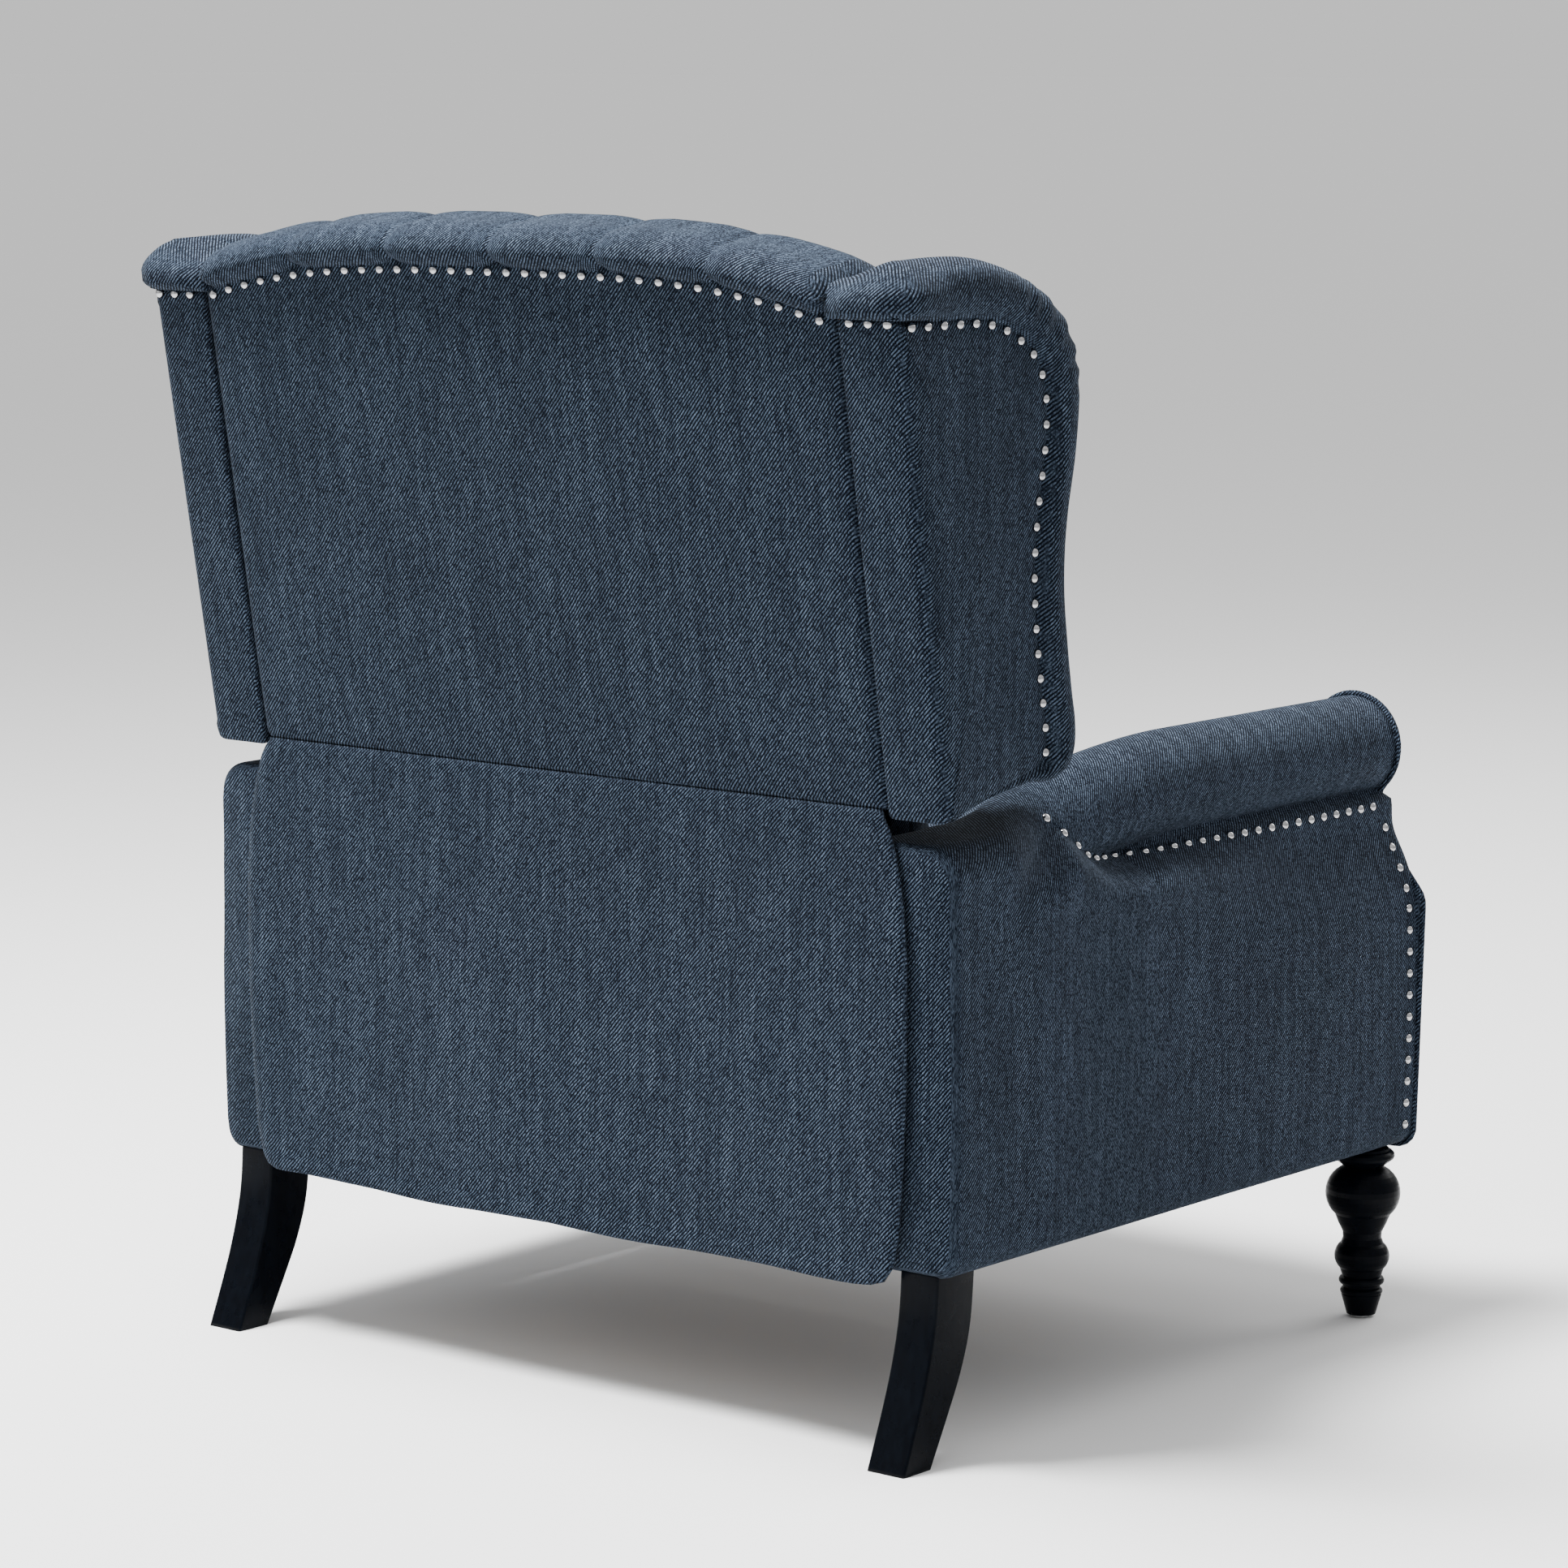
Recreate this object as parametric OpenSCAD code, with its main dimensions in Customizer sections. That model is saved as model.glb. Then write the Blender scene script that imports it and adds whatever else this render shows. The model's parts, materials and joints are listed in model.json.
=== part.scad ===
// Wingback push-back recliner armchair.
// +Z up, the chair faces -Y, X = 0 is its symmetry plane, and the floor is Z = 0.
// The origin is the middle of the footprint. Left is +X and right is -X.

/* [Arms] */
// Half of the clear width between the two arms
arm_inner_x = 320; // [310:1:330]
// Outer face of the arm, measured from the middle of the chair
arm_outer_x = 446; // [440:1:452]
// Height of the arm's underside above the floor
arm_bottom_z = 166; // [155:1:175]
// Front face of the arm panels
arm_front_y = -415; // [-420:1:-412]
// Rear face of the arms
arm_rear_y = 320; // [315:1:322]
// Radius of the rolled top of the arm
arm_roll_r = 48; // [46:1:50]
// Height of the roll's middle at the front of the arm
arm_roll_z = 548; // [544:1:550]

/* [Backrest] */
// Rearward lean of the outside back, in degrees
back_rake = 9.64; // [9:0.02:10]
// Width of the flat outside back panel
back_panel_w = 742; // [700:2:748]
// Height of the seam between outside back and hanging rear flap
seam_z = 567; // [560:1:570]
// Distance of that seam behind the origin
seam_y = 327; // [324:1:328]
// Length of the outside back from its lower seam to the corner nails
back_h = 430; // [410:1:436]
// Rise of the nail arch in the middle of the back
arch_rise = 32; // [20:1:36]
// Outer face of the wings, measured from the middle of the chair
wing_outer_x = 440; // [436:1:442]

/* [Seat] */
// Top of the seat cushion
seat_top_z = 470; // [455:1:472]
// Half of the seat cushion's width
cushion_half_w = 314; // [300:1:315]
// Rear end of the seat cushion
cushion_rear_y = 215; // [190:1:220]

/* [Mechanism] */
// Recline pivot, distance behind the origin
hinge_y = 250; // [248:1:252]
// Recline pivot, height above the floor
hinge_z = 420; // [418:1:422]
// Length of the swing links that carry the seat
swing_l = 110; // [105:1:112]
// Lean of the swing links at rest, in degrees
swing_lean = 20; // [18:1:22]
// Length of the thigh and shin links of the footrest
leg_link_l = 170; // [165:1:172]
// Thickness of the pressed steel links
link_t = 4; // [3.5:0.1:4]
// Radius of the eyes at the ends of the links
link_r = 10; // [8:0.5:10]
// Radius of the rivets
rivet_r = 4; // [3:0.5:5]

/* [Legs] */
// Sideways position of the turned front legs
front_leg_x = 411; // [405:1:412]
// Front-to-back position of the turned front legs
front_leg_y = -367; // [-370:1:-360]
// Thickness of the curved rear legs
rear_leg_w = 41; // [36:1:44]
// Outer face of the rear legs
rear_leg_x = 421.5; // [418:0.5:424]

/* [Nails] */
// Radius of a nail head
nail_r = 4.8; // [4:0.1:5]
// Distance between neighbouring nails
nail_pitch = 21.5; // [19:0.5:24]

/* [Hidden] */
$fn = 48;
eps = 0.01;
// running clearance of a link on its rivet
fit = 0.05;
// small gap that keeps neighbouring pieces apart
gap = 0.5;

// pivots as [y, z]
swing_base_rear = [110, 215];
swing_base_front = [-120, 215];
swing_arm = swing_l * [sin(swing_lean), cos(swing_lean)];
knee_seat = [-190, 325];
foot_pivot = [-345, 290];
guide_seat = [-265.8, 330];
drive_back = [260, 301.7];
drive_seat = [150, 305];
hinge = [hinge_y, hinge_z];
// knee of the footrest linkage: equal links meet at the middle of the two pivots, set off at right angles
foot_span = foot_pivot - knee_seat;
knee_drop = sqrt(leg_link_l * leg_link_l - norm(foot_span) * norm(foot_span) / 4);
knee = (knee_seat + foot_pivot) / 2 + knee_drop * [-foot_span[1], foot_span[0]] / norm(foot_span);
// the guide link meets the shin link this far from the knee
guide_reach = 45;
guide_shin = knee + guide_reach * (foot_pivot - knee) / leg_link_l;

// nail heads stand this far off the cloth, and this far behind the front of the arm
nail_lift = 0.6;
nail_from_front = 22;
// middle of a nail to the edge of the panel that it holds
nail_edge = nail_r + 1.6;

// clearance of the loose pivots that open the closed linkages
loose = 0.6;
// direction of the slot in the drive link
drive_slot_angle = atan2(drive_seat[1] - drive_back[1], drive_seat[0] - drive_back[0]) - 97.3;

// half of a link's width between its two round eyes
link_waist = link_r - 1.6;

// sideways layers of the flat steel parts, as the inner face of each
x_rail = 316.5;
rail_t = 3;
x_swing = 311.5;
x_plate = 305;
plate_t = 3.5;
x_thigh = 300;
x_shin = 295;
x_foot = 290;

// arm: front panel, roll, lower corner, shoulder and neck of the scroll
panel_t = 14;
roll_x = 367;
arm_tuck = 6;
arm_low_round = 18;
shoulder_r = 20;
shoulder_z = 400;
neck_x = 389;
neck_z = 496;
neck_r = 60;
neck_top = neck_z + 6;
// pad on the inner face of the arm
pad_t = 12;
pad_z = 246;
pad_h = 191;
// hollow of the arm, and the wooden rails in it
hollow_x = 342;
hollow_w = 88;
hollow_z = arm_bottom_z + 14;
hollow_h = 226;
arm_wall = 20;
rail_x = 344;
rail_w = 22;
rail_h = 40;
piping_r = 4;
// middle height of the roll along the arm
roll_line = [[arm_front_y + panel_t + gap, arm_roll_z], [-20, 545], [60, 536], [118, 526]];
// the rear of the arm is a plain block whose top falls away under the wing
block_y = 120;
block_high = 572;
block_low = 546;
block_fall_y = 240;
block_round = 30;
block_inset = 4;

// backrest: covers, wooden frame behind the pads, wings
strip_t = 8;
frame_t = 40;
frame_front = -frame_t - strip_t;
wing_board_x = 412;
wing_pad_x = 366;
arch_half_w = 360;
arch_step = 20;
arch_steps = 25;
// padded roll along the top
roll_y = 352;
roll_z = 1005;
roll_r = 62;
roll_end_x = 425;
roll_end_r = 50;
roll_flat_x = 270;
// how far up the raked back the inside pad reaches, where the roll takes over
pad_top = 400;
// half width and height of the part of the pad that passes between the arms
pad_narrow_x = arm_inner_x - 7;
pad_narrow_z = 616;
// outline of the wing board, [y, z], from the rear foot round the top to the front foot
wing_top_y = 284;
wing_top_z = 990;
wing_foot = [183, 606];
wing_edge = [[330, 565], [400, wing_top_z], [286, wing_top_z], [260, 985.5], [238, 977], [216, 968], [202, 953],
             [192, 935], [188, 913], [192, 860], [202, 800], [203, 750], [196, 690], [187, 640], wing_foot];
// outline of the padding that wraps round the wing's front
wing_soft = [[283, 930], [283, 1036], [263, 1028], [225, 1021], [194, 1009], [172, 995], [159, 976],
             [149, 955], [146, 934], [148, 900], [152, 865], [162, 809], [166, 760], [165, 730], [157, 682], [149, 650],
             [147, 625], [155, 602]];

// height at which the padding inside the wing steps back below the roll
wing_step_z = 925;
// larger than anything that is cut
far = 1200;

// ---- helpers ----

// a part of the left side and its mirror image
module both_sides() {
    children();
    mirror([1, 0, 0]) children();
}

// side = 1 keeps a left part where it is, side = -1 mirrors it to the right
module on_side(side) {
    if (side > 0) children();
    else mirror([1, 0, 0]) children();
}

// extrudes an outline drawn in [y, z] from x0 over the thickness t along +X
module plate_x(x0, t) {
    translate([x0, 0, 0]) rotate([90, 0, 90]) linear_extrude(t) children();
}

// round bar along +X through the point p = [y, z]
module bar_x(x0, x1, p, r) {
    translate([x0, p[0], p[1]]) rotate([0, 90, 0]) cylinder(h = x1 - x0, r = r);
}

// frame of the raked back: rear face at y = 0, z runs up along the back from the lower seam
module raked() {
    translate([0, seam_y, seam_z]) rotate([-back_rake, 0, 0]) children();
}

// world point of a place on the raked back, [y, z]
function on_back(y, z) = [seam_y + y * cos(back_rake) + z * sin(back_rake),
                          seam_z + z * cos(back_rake) - y * sin(back_rake)];

// height of the nail arch on the raked back: highest in the middle, level beyond the corners
function arch_z(x) = back_h + arch_rise * max(0, 1 - pow(abs(x) / arch_half_w, 3.3));

// area of the raked back from z0 up to a given drop below the nail arch, [x, z]
module below_arch(half_w, z0, drop) {
    polygon(concat([[half_w, z0], [-half_w, z0]],
        [[-half_w, arch_z(half_w) - drop]],
        [for (i = [-arch_steps:arch_steps]) if (abs(i * arch_step) < half_w - 1) [i * arch_step, arch_z(i * arch_step) - drop]],
        [[half_w, arch_z(half_w) - drop]]));
}

function arc(c, r, a0, a1, n) = [for (i = [0:n]) c + r * [cos(a0 + (a1 - a0) * i / n), sin(a0 + (a1 - a0) * i / n)]];

// flat link with round ends and a bore at each pivot
module link(x0, p, q, bore_p, bore_q) {
    d = q - p;
    difference() {
        union() {
            plate_x(x0, link_t) translate(p) rotate(atan2(d[1], d[0]))
                translate([0, -link_waist]) square([norm(d), 2 * link_waist]);
            bar_x(x0, x0 + link_t, p, link_r);
            bar_x(x0, x0 + link_t, q, link_r);
        }
        bar_x(x0 - 1, x0 + link_t + 1, p, bore_p);
        bar_x(x0 - 1, x0 + link_t + 1, q, bore_q);
    }
}

// points a given pitch apart along a polyline
function run(p, i) = i == 0 ? 0 : run(p, i - 1) + norm(p[i] - p[i - 1]);
function at_run(p, s, i = 1) = i >= len(p) - 1 || run(p, i) >= s
    ? p[i - 1] + (p[i] - p[i - 1]) * (s - run(p, i - 1)) / norm(p[i] - p[i - 1])
    : at_run(p, s, i + 1);
function spaced(p, pitch) = let (total = run(p, len(p) - 1), n = round(total / pitch))
    [for (i = [0:n]) at_run(p, min(total - eps, i * total / n))];

// an open [y, z] path moved sideways by d, to the right of its direction
function beside(p, d) = [for (i = [0:len(p) - 1])
    let (t = p[min(i + 1, len(p) - 1)] - p[max(i - 1, 0)]) p[i] + d * [t[1], -t[0]] / norm(t)];

// domed nail head whose back lies at the origin and whose dome points along +Z
module nail() {
    intersection() {
        translate([0, 0, -nail_r * 0.35]) sphere(r = nail_r * 1.1, $fn = 16);
        cylinder(h = nail_r * 1.2, r = nail_r, $fn = 16);
    }
}

// ---- arms ----

function arm_lower_corner() =
    arc([arm_outer_x - arm_tuck - arm_low_round, arm_bottom_z + arm_low_round], arm_low_round, -90, -20, 6);

// outer side of the arm below the roll, from the bottom up, [x, z]
arm_side_line = concat(
    arm_lower_corner(),
    arc([arm_outer_x - shoulder_r, shoulder_z], shoulder_r, 0, 40, 6),
    arc([neck_x + neck_r, neck_z], neck_r, 235, 180, 8));

// outline of the lower arm seen from the front, [x, z]
module arm_body_outline() {
    polygon(concat(
        [[arm_inner_x + gap, arm_bottom_z]],
        arm_side_line,
        [[neck_x, neck_top], [arm_inner_x + gap, neck_top]]));
}

// whole outline of the scroll-shaped arm front
module arm_front_outline() {
    arm_body_outline();
    translate([roll_x, arm_roll_z]) circle(r = arm_roll_r);
    translate([arm_inner_x + gap, neck_z - 10]) square([roll_x - arm_inner_x, arm_roll_z - neck_z + 10]);
}

// extrudes an outline drawn in [x, z] rearward from y0 over t
module plate_y(y0, t) {
    translate([0, y0 + t, 0]) rotate([90, 0, 0]) linear_extrude(t) children();
}

module roll_shape(grow) {
    for (i = [1:len(roll_line) - 1])
        hull() {
            translate([roll_x, roll_line[i - 1][0] - grow, roll_line[i - 1][1]])
                rotate([-90, 0, 0]) cylinder(h = 0.1, r = arm_roll_r + grow);
            translate([roll_x, roll_line[i][0] + grow - 0.1, roll_line[i][1]])
                rotate([-90, 0, 0]) cylinder(h = 0.1, r = arm_roll_r + grow);
        }
}

module arm_roll(side) color("#2f4257") on_side(side) roll_shape(0);

// section of the block behind the roll, [x, z]
module arm_block_outline() {
    polygon(concat(
        [[arm_inner_x + gap, arm_bottom_z]],
        arm_lower_corner(),
        arc([arm_outer_x - block_inset - block_round, block_high - block_round], block_round, 0, 90, 8),
        [[arm_inner_x + gap, block_high]]));
}

module arm_side(side) color("#2b3e53") on_side(side) difference() {
    union() {
        plate_y(arm_front_y + panel_t + gap, block_y - arm_front_y - panel_t) arm_body_outline();
        intersection() {
            plate_y(block_y, arm_rear_y - block_y) arm_block_outline();
            plate_x(0, 2 * arm_outer_x) polygon([[block_y, 0], [block_y, block_high], [block_fall_y, block_low],
                                                 [arm_rear_y, block_low], [arm_rear_y, 0]]);
        }
    }
    // room for the inner pad
    translate([arm_inner_x, arm_front_y, pad_z]) cube([pad_t + gap, 2 * (arm_rear_y - arm_front_y), pad_h]);
    // hollow that holds the wooden frame, open towards the front panel
    translate([hollow_x, arm_front_y, hollow_z]) cube([hollow_w, arm_rear_y - arm_front_y - arm_wall, hollow_h]);
    roll_shape(gap);
}

module arm_pad(side) color("#33475d") on_side(side)
    translate([arm_inner_x, arm_front_y + panel_t + gap, pad_z + gap])
        cube([pad_t, arm_rear_y - arm_front_y - panel_t - gap, pad_h - 2 * gap]);

module arm_front(side) color("#2f4257") on_side(side) plate_y(arm_front_y, panel_t) arm_front_outline();

// cord sewn round the front panel, but not under the arm
module arm_piping() color("#26384c") both_sides() plate_y(arm_front_y + 1, 2 * piping_r - 1) difference() {
    offset(r = piping_r) arm_front_outline();
    offset(r = gap / 2) arm_front_outline();
    translate([arm_inner_x - piping_r, arm_bottom_z - 2 * piping_r - gap]) square([120, 2 * piping_r]);
}

// wooden frame inside the arm: two long rails, posts and a stile
module arm_frames() color("burlywood") both_sides() {
    y0 = arm_front_y + panel_t + arm_wall;
    y1 = arm_rear_y - arm_wall - 2;
    z0 = hollow_z + 2;
    z1 = hollow_z + hollow_h - 2;
    for (z = [z0, z1 - rail_h]) translate([rail_x, y0, z]) cube([rail_w, y1 - y0, rail_h]);
    for (y = [y0, (y0 + y1 - rail_h) / 2, y1 - rail_h])
        translate([rail_x, y, z0 + rail_h]) cube([rail_w, rail_h, z1 - z0 - 2 * rail_h]);
}

// angle of the outside of the arm at [y, z], above the level: on the roll, or on the hollow neck under it
function roll_angle(p) = asin(max(-1, min(1, (p[1] - lookup(p[0], roll_line)) / arm_roll_r)));
function neck_angle(p) = asin(max(-1, min(1, (neck_z - p[1]) / neck_r)));
function arm_surface(p) = max(roll_x + arm_roll_r * cos(roll_angle(p)), neck_x + neck_r * (1 - cos(neck_angle(p))));

// how far out the arm reaches anywhere under a nail in the crease at p
function nail_seat(p) = max([for (dy = [-1, 0, 1], dz = [-1, 0, 1]) arm_surface(p + nail_r * [dy, dz])]);

// direction of the stretch of a line that holds the point p
function run_at(line, p) = [for (i = [1:len(line) - 1]) let (run = line[i] - line[i - 1])
    if (norm(line[i] - p) + norm(line[i - 1] - p) < norm(run) + 0.01) run][0];

// nails of one arm: along the underside of the roll, [y, z], then down the front edge, [x, z]
arm_nail_side = [[112, 538], [104, 528], [90, 517], [75, 508], [58, 500], [30, 494], [-20, 488], [-372, 488]];
arm_nail_low = 192;
arm_nail_high = 470;
arm_nail_front = [for (p = arm_side_line) if (p[1] > arm_nail_low && p[1] < arm_nail_high) p];
module arm_nails() color("silver") both_sides() {
    for (p = spaced(arm_nail_side, nail_pitch))
        translate([nail_seat(p) + nail_lift, p[0], p[1]]) rotate([0, 90, 0]) nail();
    for (p = spaced(arm_nail_front, nail_pitch)) {
        t = run_at(arm_nail_front, p);
        translate([p[0], arm_front_y + nail_from_front, p[1]])
            rotate([0, 90 - atan2(-t[0], t[1]), 0]) translate([0, 0, nail_lift]) nail();
    }
}

// ---- legs ----

// turned front leg, [radius, height] up its axis
leg_profile = concat(
    [[0, 3], [14, 3], [19.4, 22]],
    arc([17.5, 25.5], 3, -60, 90, 5),
    arc([18, 36], 4, -80, 80, 5),
    arc([10, 60], 16.5, -48, 50, 8),
    [[18.5, 78], [19, 84], [23, 92]],
    arc([8, 122], 28, -48, 68, 12),
    arc([25, 159], 5, -70, 90, 5),
    [[24, arm_bottom_z], [0, arm_bottom_z]]);

module front_leg(side) color("#15181f") on_side(side)
    translate([front_leg_x, front_leg_y, 0]) rotate_extrude($fn = 48) polygon(leg_profile);

module front_glides() color("silver") both_sides() translate([front_leg_x, front_leg_y, 0]) cylinder(h = 3, r = 8);

rear_leg_outline = [[263, arm_bottom_z], [264, 145], [268, 119], [273, 99], [281, 80], [290, 61], [300, 43], [312, 20],
                    [324, 0], [363, 0], [353, 26], [342, 51], [335, 70], [329, 90], [323, 109], [319, 129], [316, 150],
                    [316, arm_bottom_z]];
module rear_leg(side) color("#15181f") on_side(side)
    plate_x(rear_leg_x - rear_leg_w, rear_leg_w) polygon(rear_leg_outline);

// ---- base of the mechanism ----

// wooden rails between the arms
module cross_rail(y, z, t, h) color("burlywood") translate([-arm_inner_x, y, z]) cube([2 * arm_inner_x, t, h]);
module front_rail() cross_rail(-200, 172, 22, 43);
module rear_rail() cross_rail(294, 175, 24, 60);

hinge_rivet_r = 6;
post_w = 50;
rail_z = 190;
mech_rail_h = 50;

module mechanism_rail(side) color("dimgray") on_side(side) difference() {
    union() {
        translate([x_rail, -172, rail_z]) cube([rail_t, 462, mech_rail_h]);
        translate([x_rail, hinge_y - post_w / 2, rail_z + mech_rail_h - 1])
            cube([rail_t, post_w, hinge_z - rail_z - mech_rail_h + 1]);
        bar_x(x_rail, x_rail + rail_t, hinge, post_w / 2);
    }
    for (p = [swing_base_rear, swing_base_front]) bar_x(x_rail - 1, x_rail + rail_t + 1, p, rivet_r);
    bar_x(x_rail - 1, x_rail + rail_t + 1, hinge, hinge_rivet_r);
}

// rivets with a head over the moving part, and a little play beside it
head_t = 1.9;
play = 0.4;
module base_rivets() color("silver") both_sides() {
    for (p = [swing_base_rear, swing_base_front]) {
        bar_x(x_swing - head_t, x_rail + rail_t, p, rivet_r);
        bar_x(x_swing - head_t, x_swing - play, p, 2 * rivet_r);
    }
    bar_x(x_plate - head_t, x_rail + rail_t, hinge, hinge_rivet_r);
    bar_x(x_plate - head_t, x_plate - play, hinge, hinge_rivet_r + 5);
    bar_x(x_plate + plate_t + play, x_rail, hinge, hinge_rivet_r + 4);
}

// ---- swing links and seat ----

module rear_swing_links() color("gray") both_sides() {
    link(x_swing, swing_base_rear, swing_base_rear + swing_arm, rivet_r + fit, rivet_r + fit);
}

module front_swing_links() color("gray") both_sides()
    link(x_swing, swing_base_front, swing_base_front + swing_arm, rivet_r + fit, rivet_r + fit);

module torque_tube() color("gray") bar_x(-x_swing, x_swing, swing_base_rear + 0.4 * swing_arm, 8);

module seat_plate(side) color("slategray") on_side(side) difference() {
    translate([x_plate, -285, 288]) cube([plate_t, 460, 60]);
    for (p = [swing_base_rear + swing_arm, swing_base_front + swing_arm, knee_seat, guide_seat, drive_seat])
        bar_x(x_plate - 1, x_plate + plate_t + 1, p, rivet_r);
}

module seat_rivets() color("silver") both_sides() {
    for (p = [swing_base_rear + swing_arm, swing_base_front + swing_arm]) {
        bar_x(x_plate, x_swing + link_t, p, rivet_r);
        bar_x(x_plate + plate_t, x_swing - play, p, rivet_r + 3);
    }
    for (p = [knee_seat, guide_seat, drive_seat]) bar_x(x_thigh, x_plate + plate_t, p, rivet_r);
}

// the seat's wooden frame
board_z = 348;
board_h = 24;
seat_half_w = 312;
seat_front_y = -388;
seat_len = 568;
side_board_w = 28;
front_board_t = 15;
rear_board_t = 24;
module seat_side_boards() color("burlywood") both_sides()
    translate([seat_half_w - side_board_w, seat_front_y, board_z]) cube([side_board_w, seat_len, board_h]);
module seat_front_board() color("burlywood")
    translate([-seat_half_w, seat_front_y - front_board_t, board_z]) cube([2 * seat_half_w, front_board_t, board_h]);
module seat_rear_board() color("burlywood")
    translate([-seat_half_w, seat_front_y + seat_len, board_z]) cube([2 * seat_half_w, rear_board_t, board_h]);

cross_tube = [40, 300];
cross_tube_r = 9;
module seat_cross_tube() color("gray") bar_x(-x_plate, x_plate, cross_tube, cross_tube_r);

spring_r = 1.9;
spring_rings = 8;
spring_pitch = 70.5;
spring_inset = 2;
// one zigzag spring: half rings joined end to end from the front board to the rear board
module sinuous_spring() {
    for (i = [0:spring_rings - 1])
        translate([0, seat_front_y + spring_inset + spring_pitch * (i + 0.5), board_z + board_h / 2]) rotate([0, 0, i % 2 == 0 ? -90 : 90])
            rotate_extrude(angle = 180, $fn = 24) translate([spring_pitch / 2, 0]) circle(r = spring_r, $fn = 16);
}
module seat_springs() color("silver") for (x = [-195, -65, 65, 195]) translate([x, 0, 0]) sinuous_spring();

// the cushion's front lip hangs down over the front board
cushion_front_y = -414;
lip_z = 353;
module seat_cushion() color("#364b61") {
    cushion_z = board_z + board_h + gap;
    lip_t = seat_front_y - front_board_t - gap - cushion_front_y;
    translate([-cushion_half_w, cushion_front_y, cushion_z])
        cube([2 * cushion_half_w, cushion_rear_y - cushion_front_y, seat_top_z - cushion_z]);
    translate([-cushion_half_w, cushion_front_y, lip_z]) cube([2 * cushion_half_w, lip_t, cushion_z - lip_z + 1]);
}

// ---- backrest ----

module back_bracket(side) color("slategray") on_side(side) difference() {
    plate_x(x_plate, plate_t) union() {
        translate(hinge) circle(r = 20);
        translate(drive_back) circle(r = 13);
        polygon([[246, 300], [274, 300], [272, hinge_z], [310, 540], [279, 540], [267, 478], [230, hinge_z]]);
    }
    bar_x(x_plate - 1, x_plate + plate_t + 1, hinge, hinge_rivet_r + fit);
    bar_x(x_plate - 1, x_plate + plate_t + 1, drive_back, rivet_r);
}
module back_rivets() color("silver") both_sides() bar_x(x_thigh, x_plate + plate_t, drive_back, rivet_r);

post_x = 270;
post_z = -120;
top_rail_z = 360;
module back_posts() color("burlywood") both_sides() raked()
    translate([post_x, frame_front, post_z]) cube([x_plate - post_x, frame_t, top_rail_z - post_z]);
module back_top_rail() color("burlywood") raked() plate_y(frame_front, frame_t)
    below_arch(wing_board_x, top_rail_z, 4);
module back_wing_rail() color("burlywood") both_sides() raked()
    translate([x_plate, frame_front, 60]) cube([wing_board_x - x_plate, frame_t, 60]);
module back_bottom_rail() color("burlywood") raked()
    translate([-post_x, frame_front, -116]) cube([2 * post_x, frame_t, 50]);

module outside_back() color("#2b3e53") raked() plate_y(-strip_t, strip_t) below_arch(back_panel_w / 2, 0, 0);

// the seat end of the drive link is slotted, so that its rivet can wander while the back swings
drive_slot = drive_seat + 8.6 * [cos(drive_slot_angle), sin(drive_slot_angle)];
module drive_links() color("gray") both_sides() difference() {
    union() {
        link(x_thigh, drive_back, drive_seat, rivet_r + fit, rivet_r);
        link(x_thigh, drive_seat, drive_slot, rivet_r, rivet_r);
    }
    for (p = [drive_seat, drive_slot]) bar_x(x_thigh - 1, x_thigh + link_t + 1, p, rivet_r + loose);
    plate_x(x_thigh - 1, link_t + 2) translate(drive_seat) rotate(drive_slot_angle)
        translate([0, -rivet_r - loose]) square([norm(drive_slot - drive_seat), 2 * (rivet_r + loose)]);
}

// padding of the inside back: thicker at the lumbar, narrow between the arms, wide above them
module inside_back_pad() color("#364b61") difference() {
    raked() plate_x(-wing_pad_x + 11, 2 * (wing_pad_x - 11))
        polygon([[frame_front - gap, -98], [-150, -116], [-152, 60], [-128, 250], [-100, 350], [-94, pad_top],
                 [frame_front - gap, pad_top]]);
    both_sides() translate([pad_narrow_x, 0, 0]) cube([wing_pad_x, seam_y, pad_narrow_z]);
}

// padded roll along the top: it sits on the arched rail and panel, on the inside pad and on the wings
module top_roll() color("#3a5068") difference() {
    hull() {
        bar_x(-roll_flat_x, roll_flat_x, [roll_y, roll_z], roll_r);
        both_sides() translate([roll_end_x, roll_y - 6, roll_z - 18]) sphere(r = roll_end_r, $fn = 32);
    }
    raked() plate_y(frame_front - gap, far) below_arch(far / 2, 0, -gap);
    raked() translate([-far / 2, -far, 0]) cube([far, far + 1, pad_top + gap]);
    both_sides() translate([wing_pad_x - gap, 0, 0]) cube([far, wing_top_y - gap, far]);
    both_sides() translate([wing_board_x - gap, 0, 0]) cube([far, far, wing_top_z + gap]);
}

module wing_board(side) color("burlywood") on_side(side)
    plate_x(wing_board_x, wing_outer_x - strip_t - wing_board_x) intersection() {
        polygon(wing_edge);
        raked_limit(-strip_t - gap);
    }

// everything in front of a plane parallel to the raked back, as an outline in [y, z]
module raked_limit(y) {
    polygon([on_back(y, -100), on_back(y, back_h), on_back(-400, back_h), on_back(-400, -100)]);
}

module wing_cover(side) color("#2b3e53") on_side(side) {
    plate_x(wing_outer_x - strip_t + gap / 2, strip_t - gap / 2) intersection() {
        polygon(wing_edge);
        raked_limit(0);
    }
    raked() translate([back_panel_w / 2 + gap, -strip_t, 0])
        cube([wing_outer_x - strip_t + 1 - back_panel_w / 2 - gap, strip_t, back_h]);
}

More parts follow.
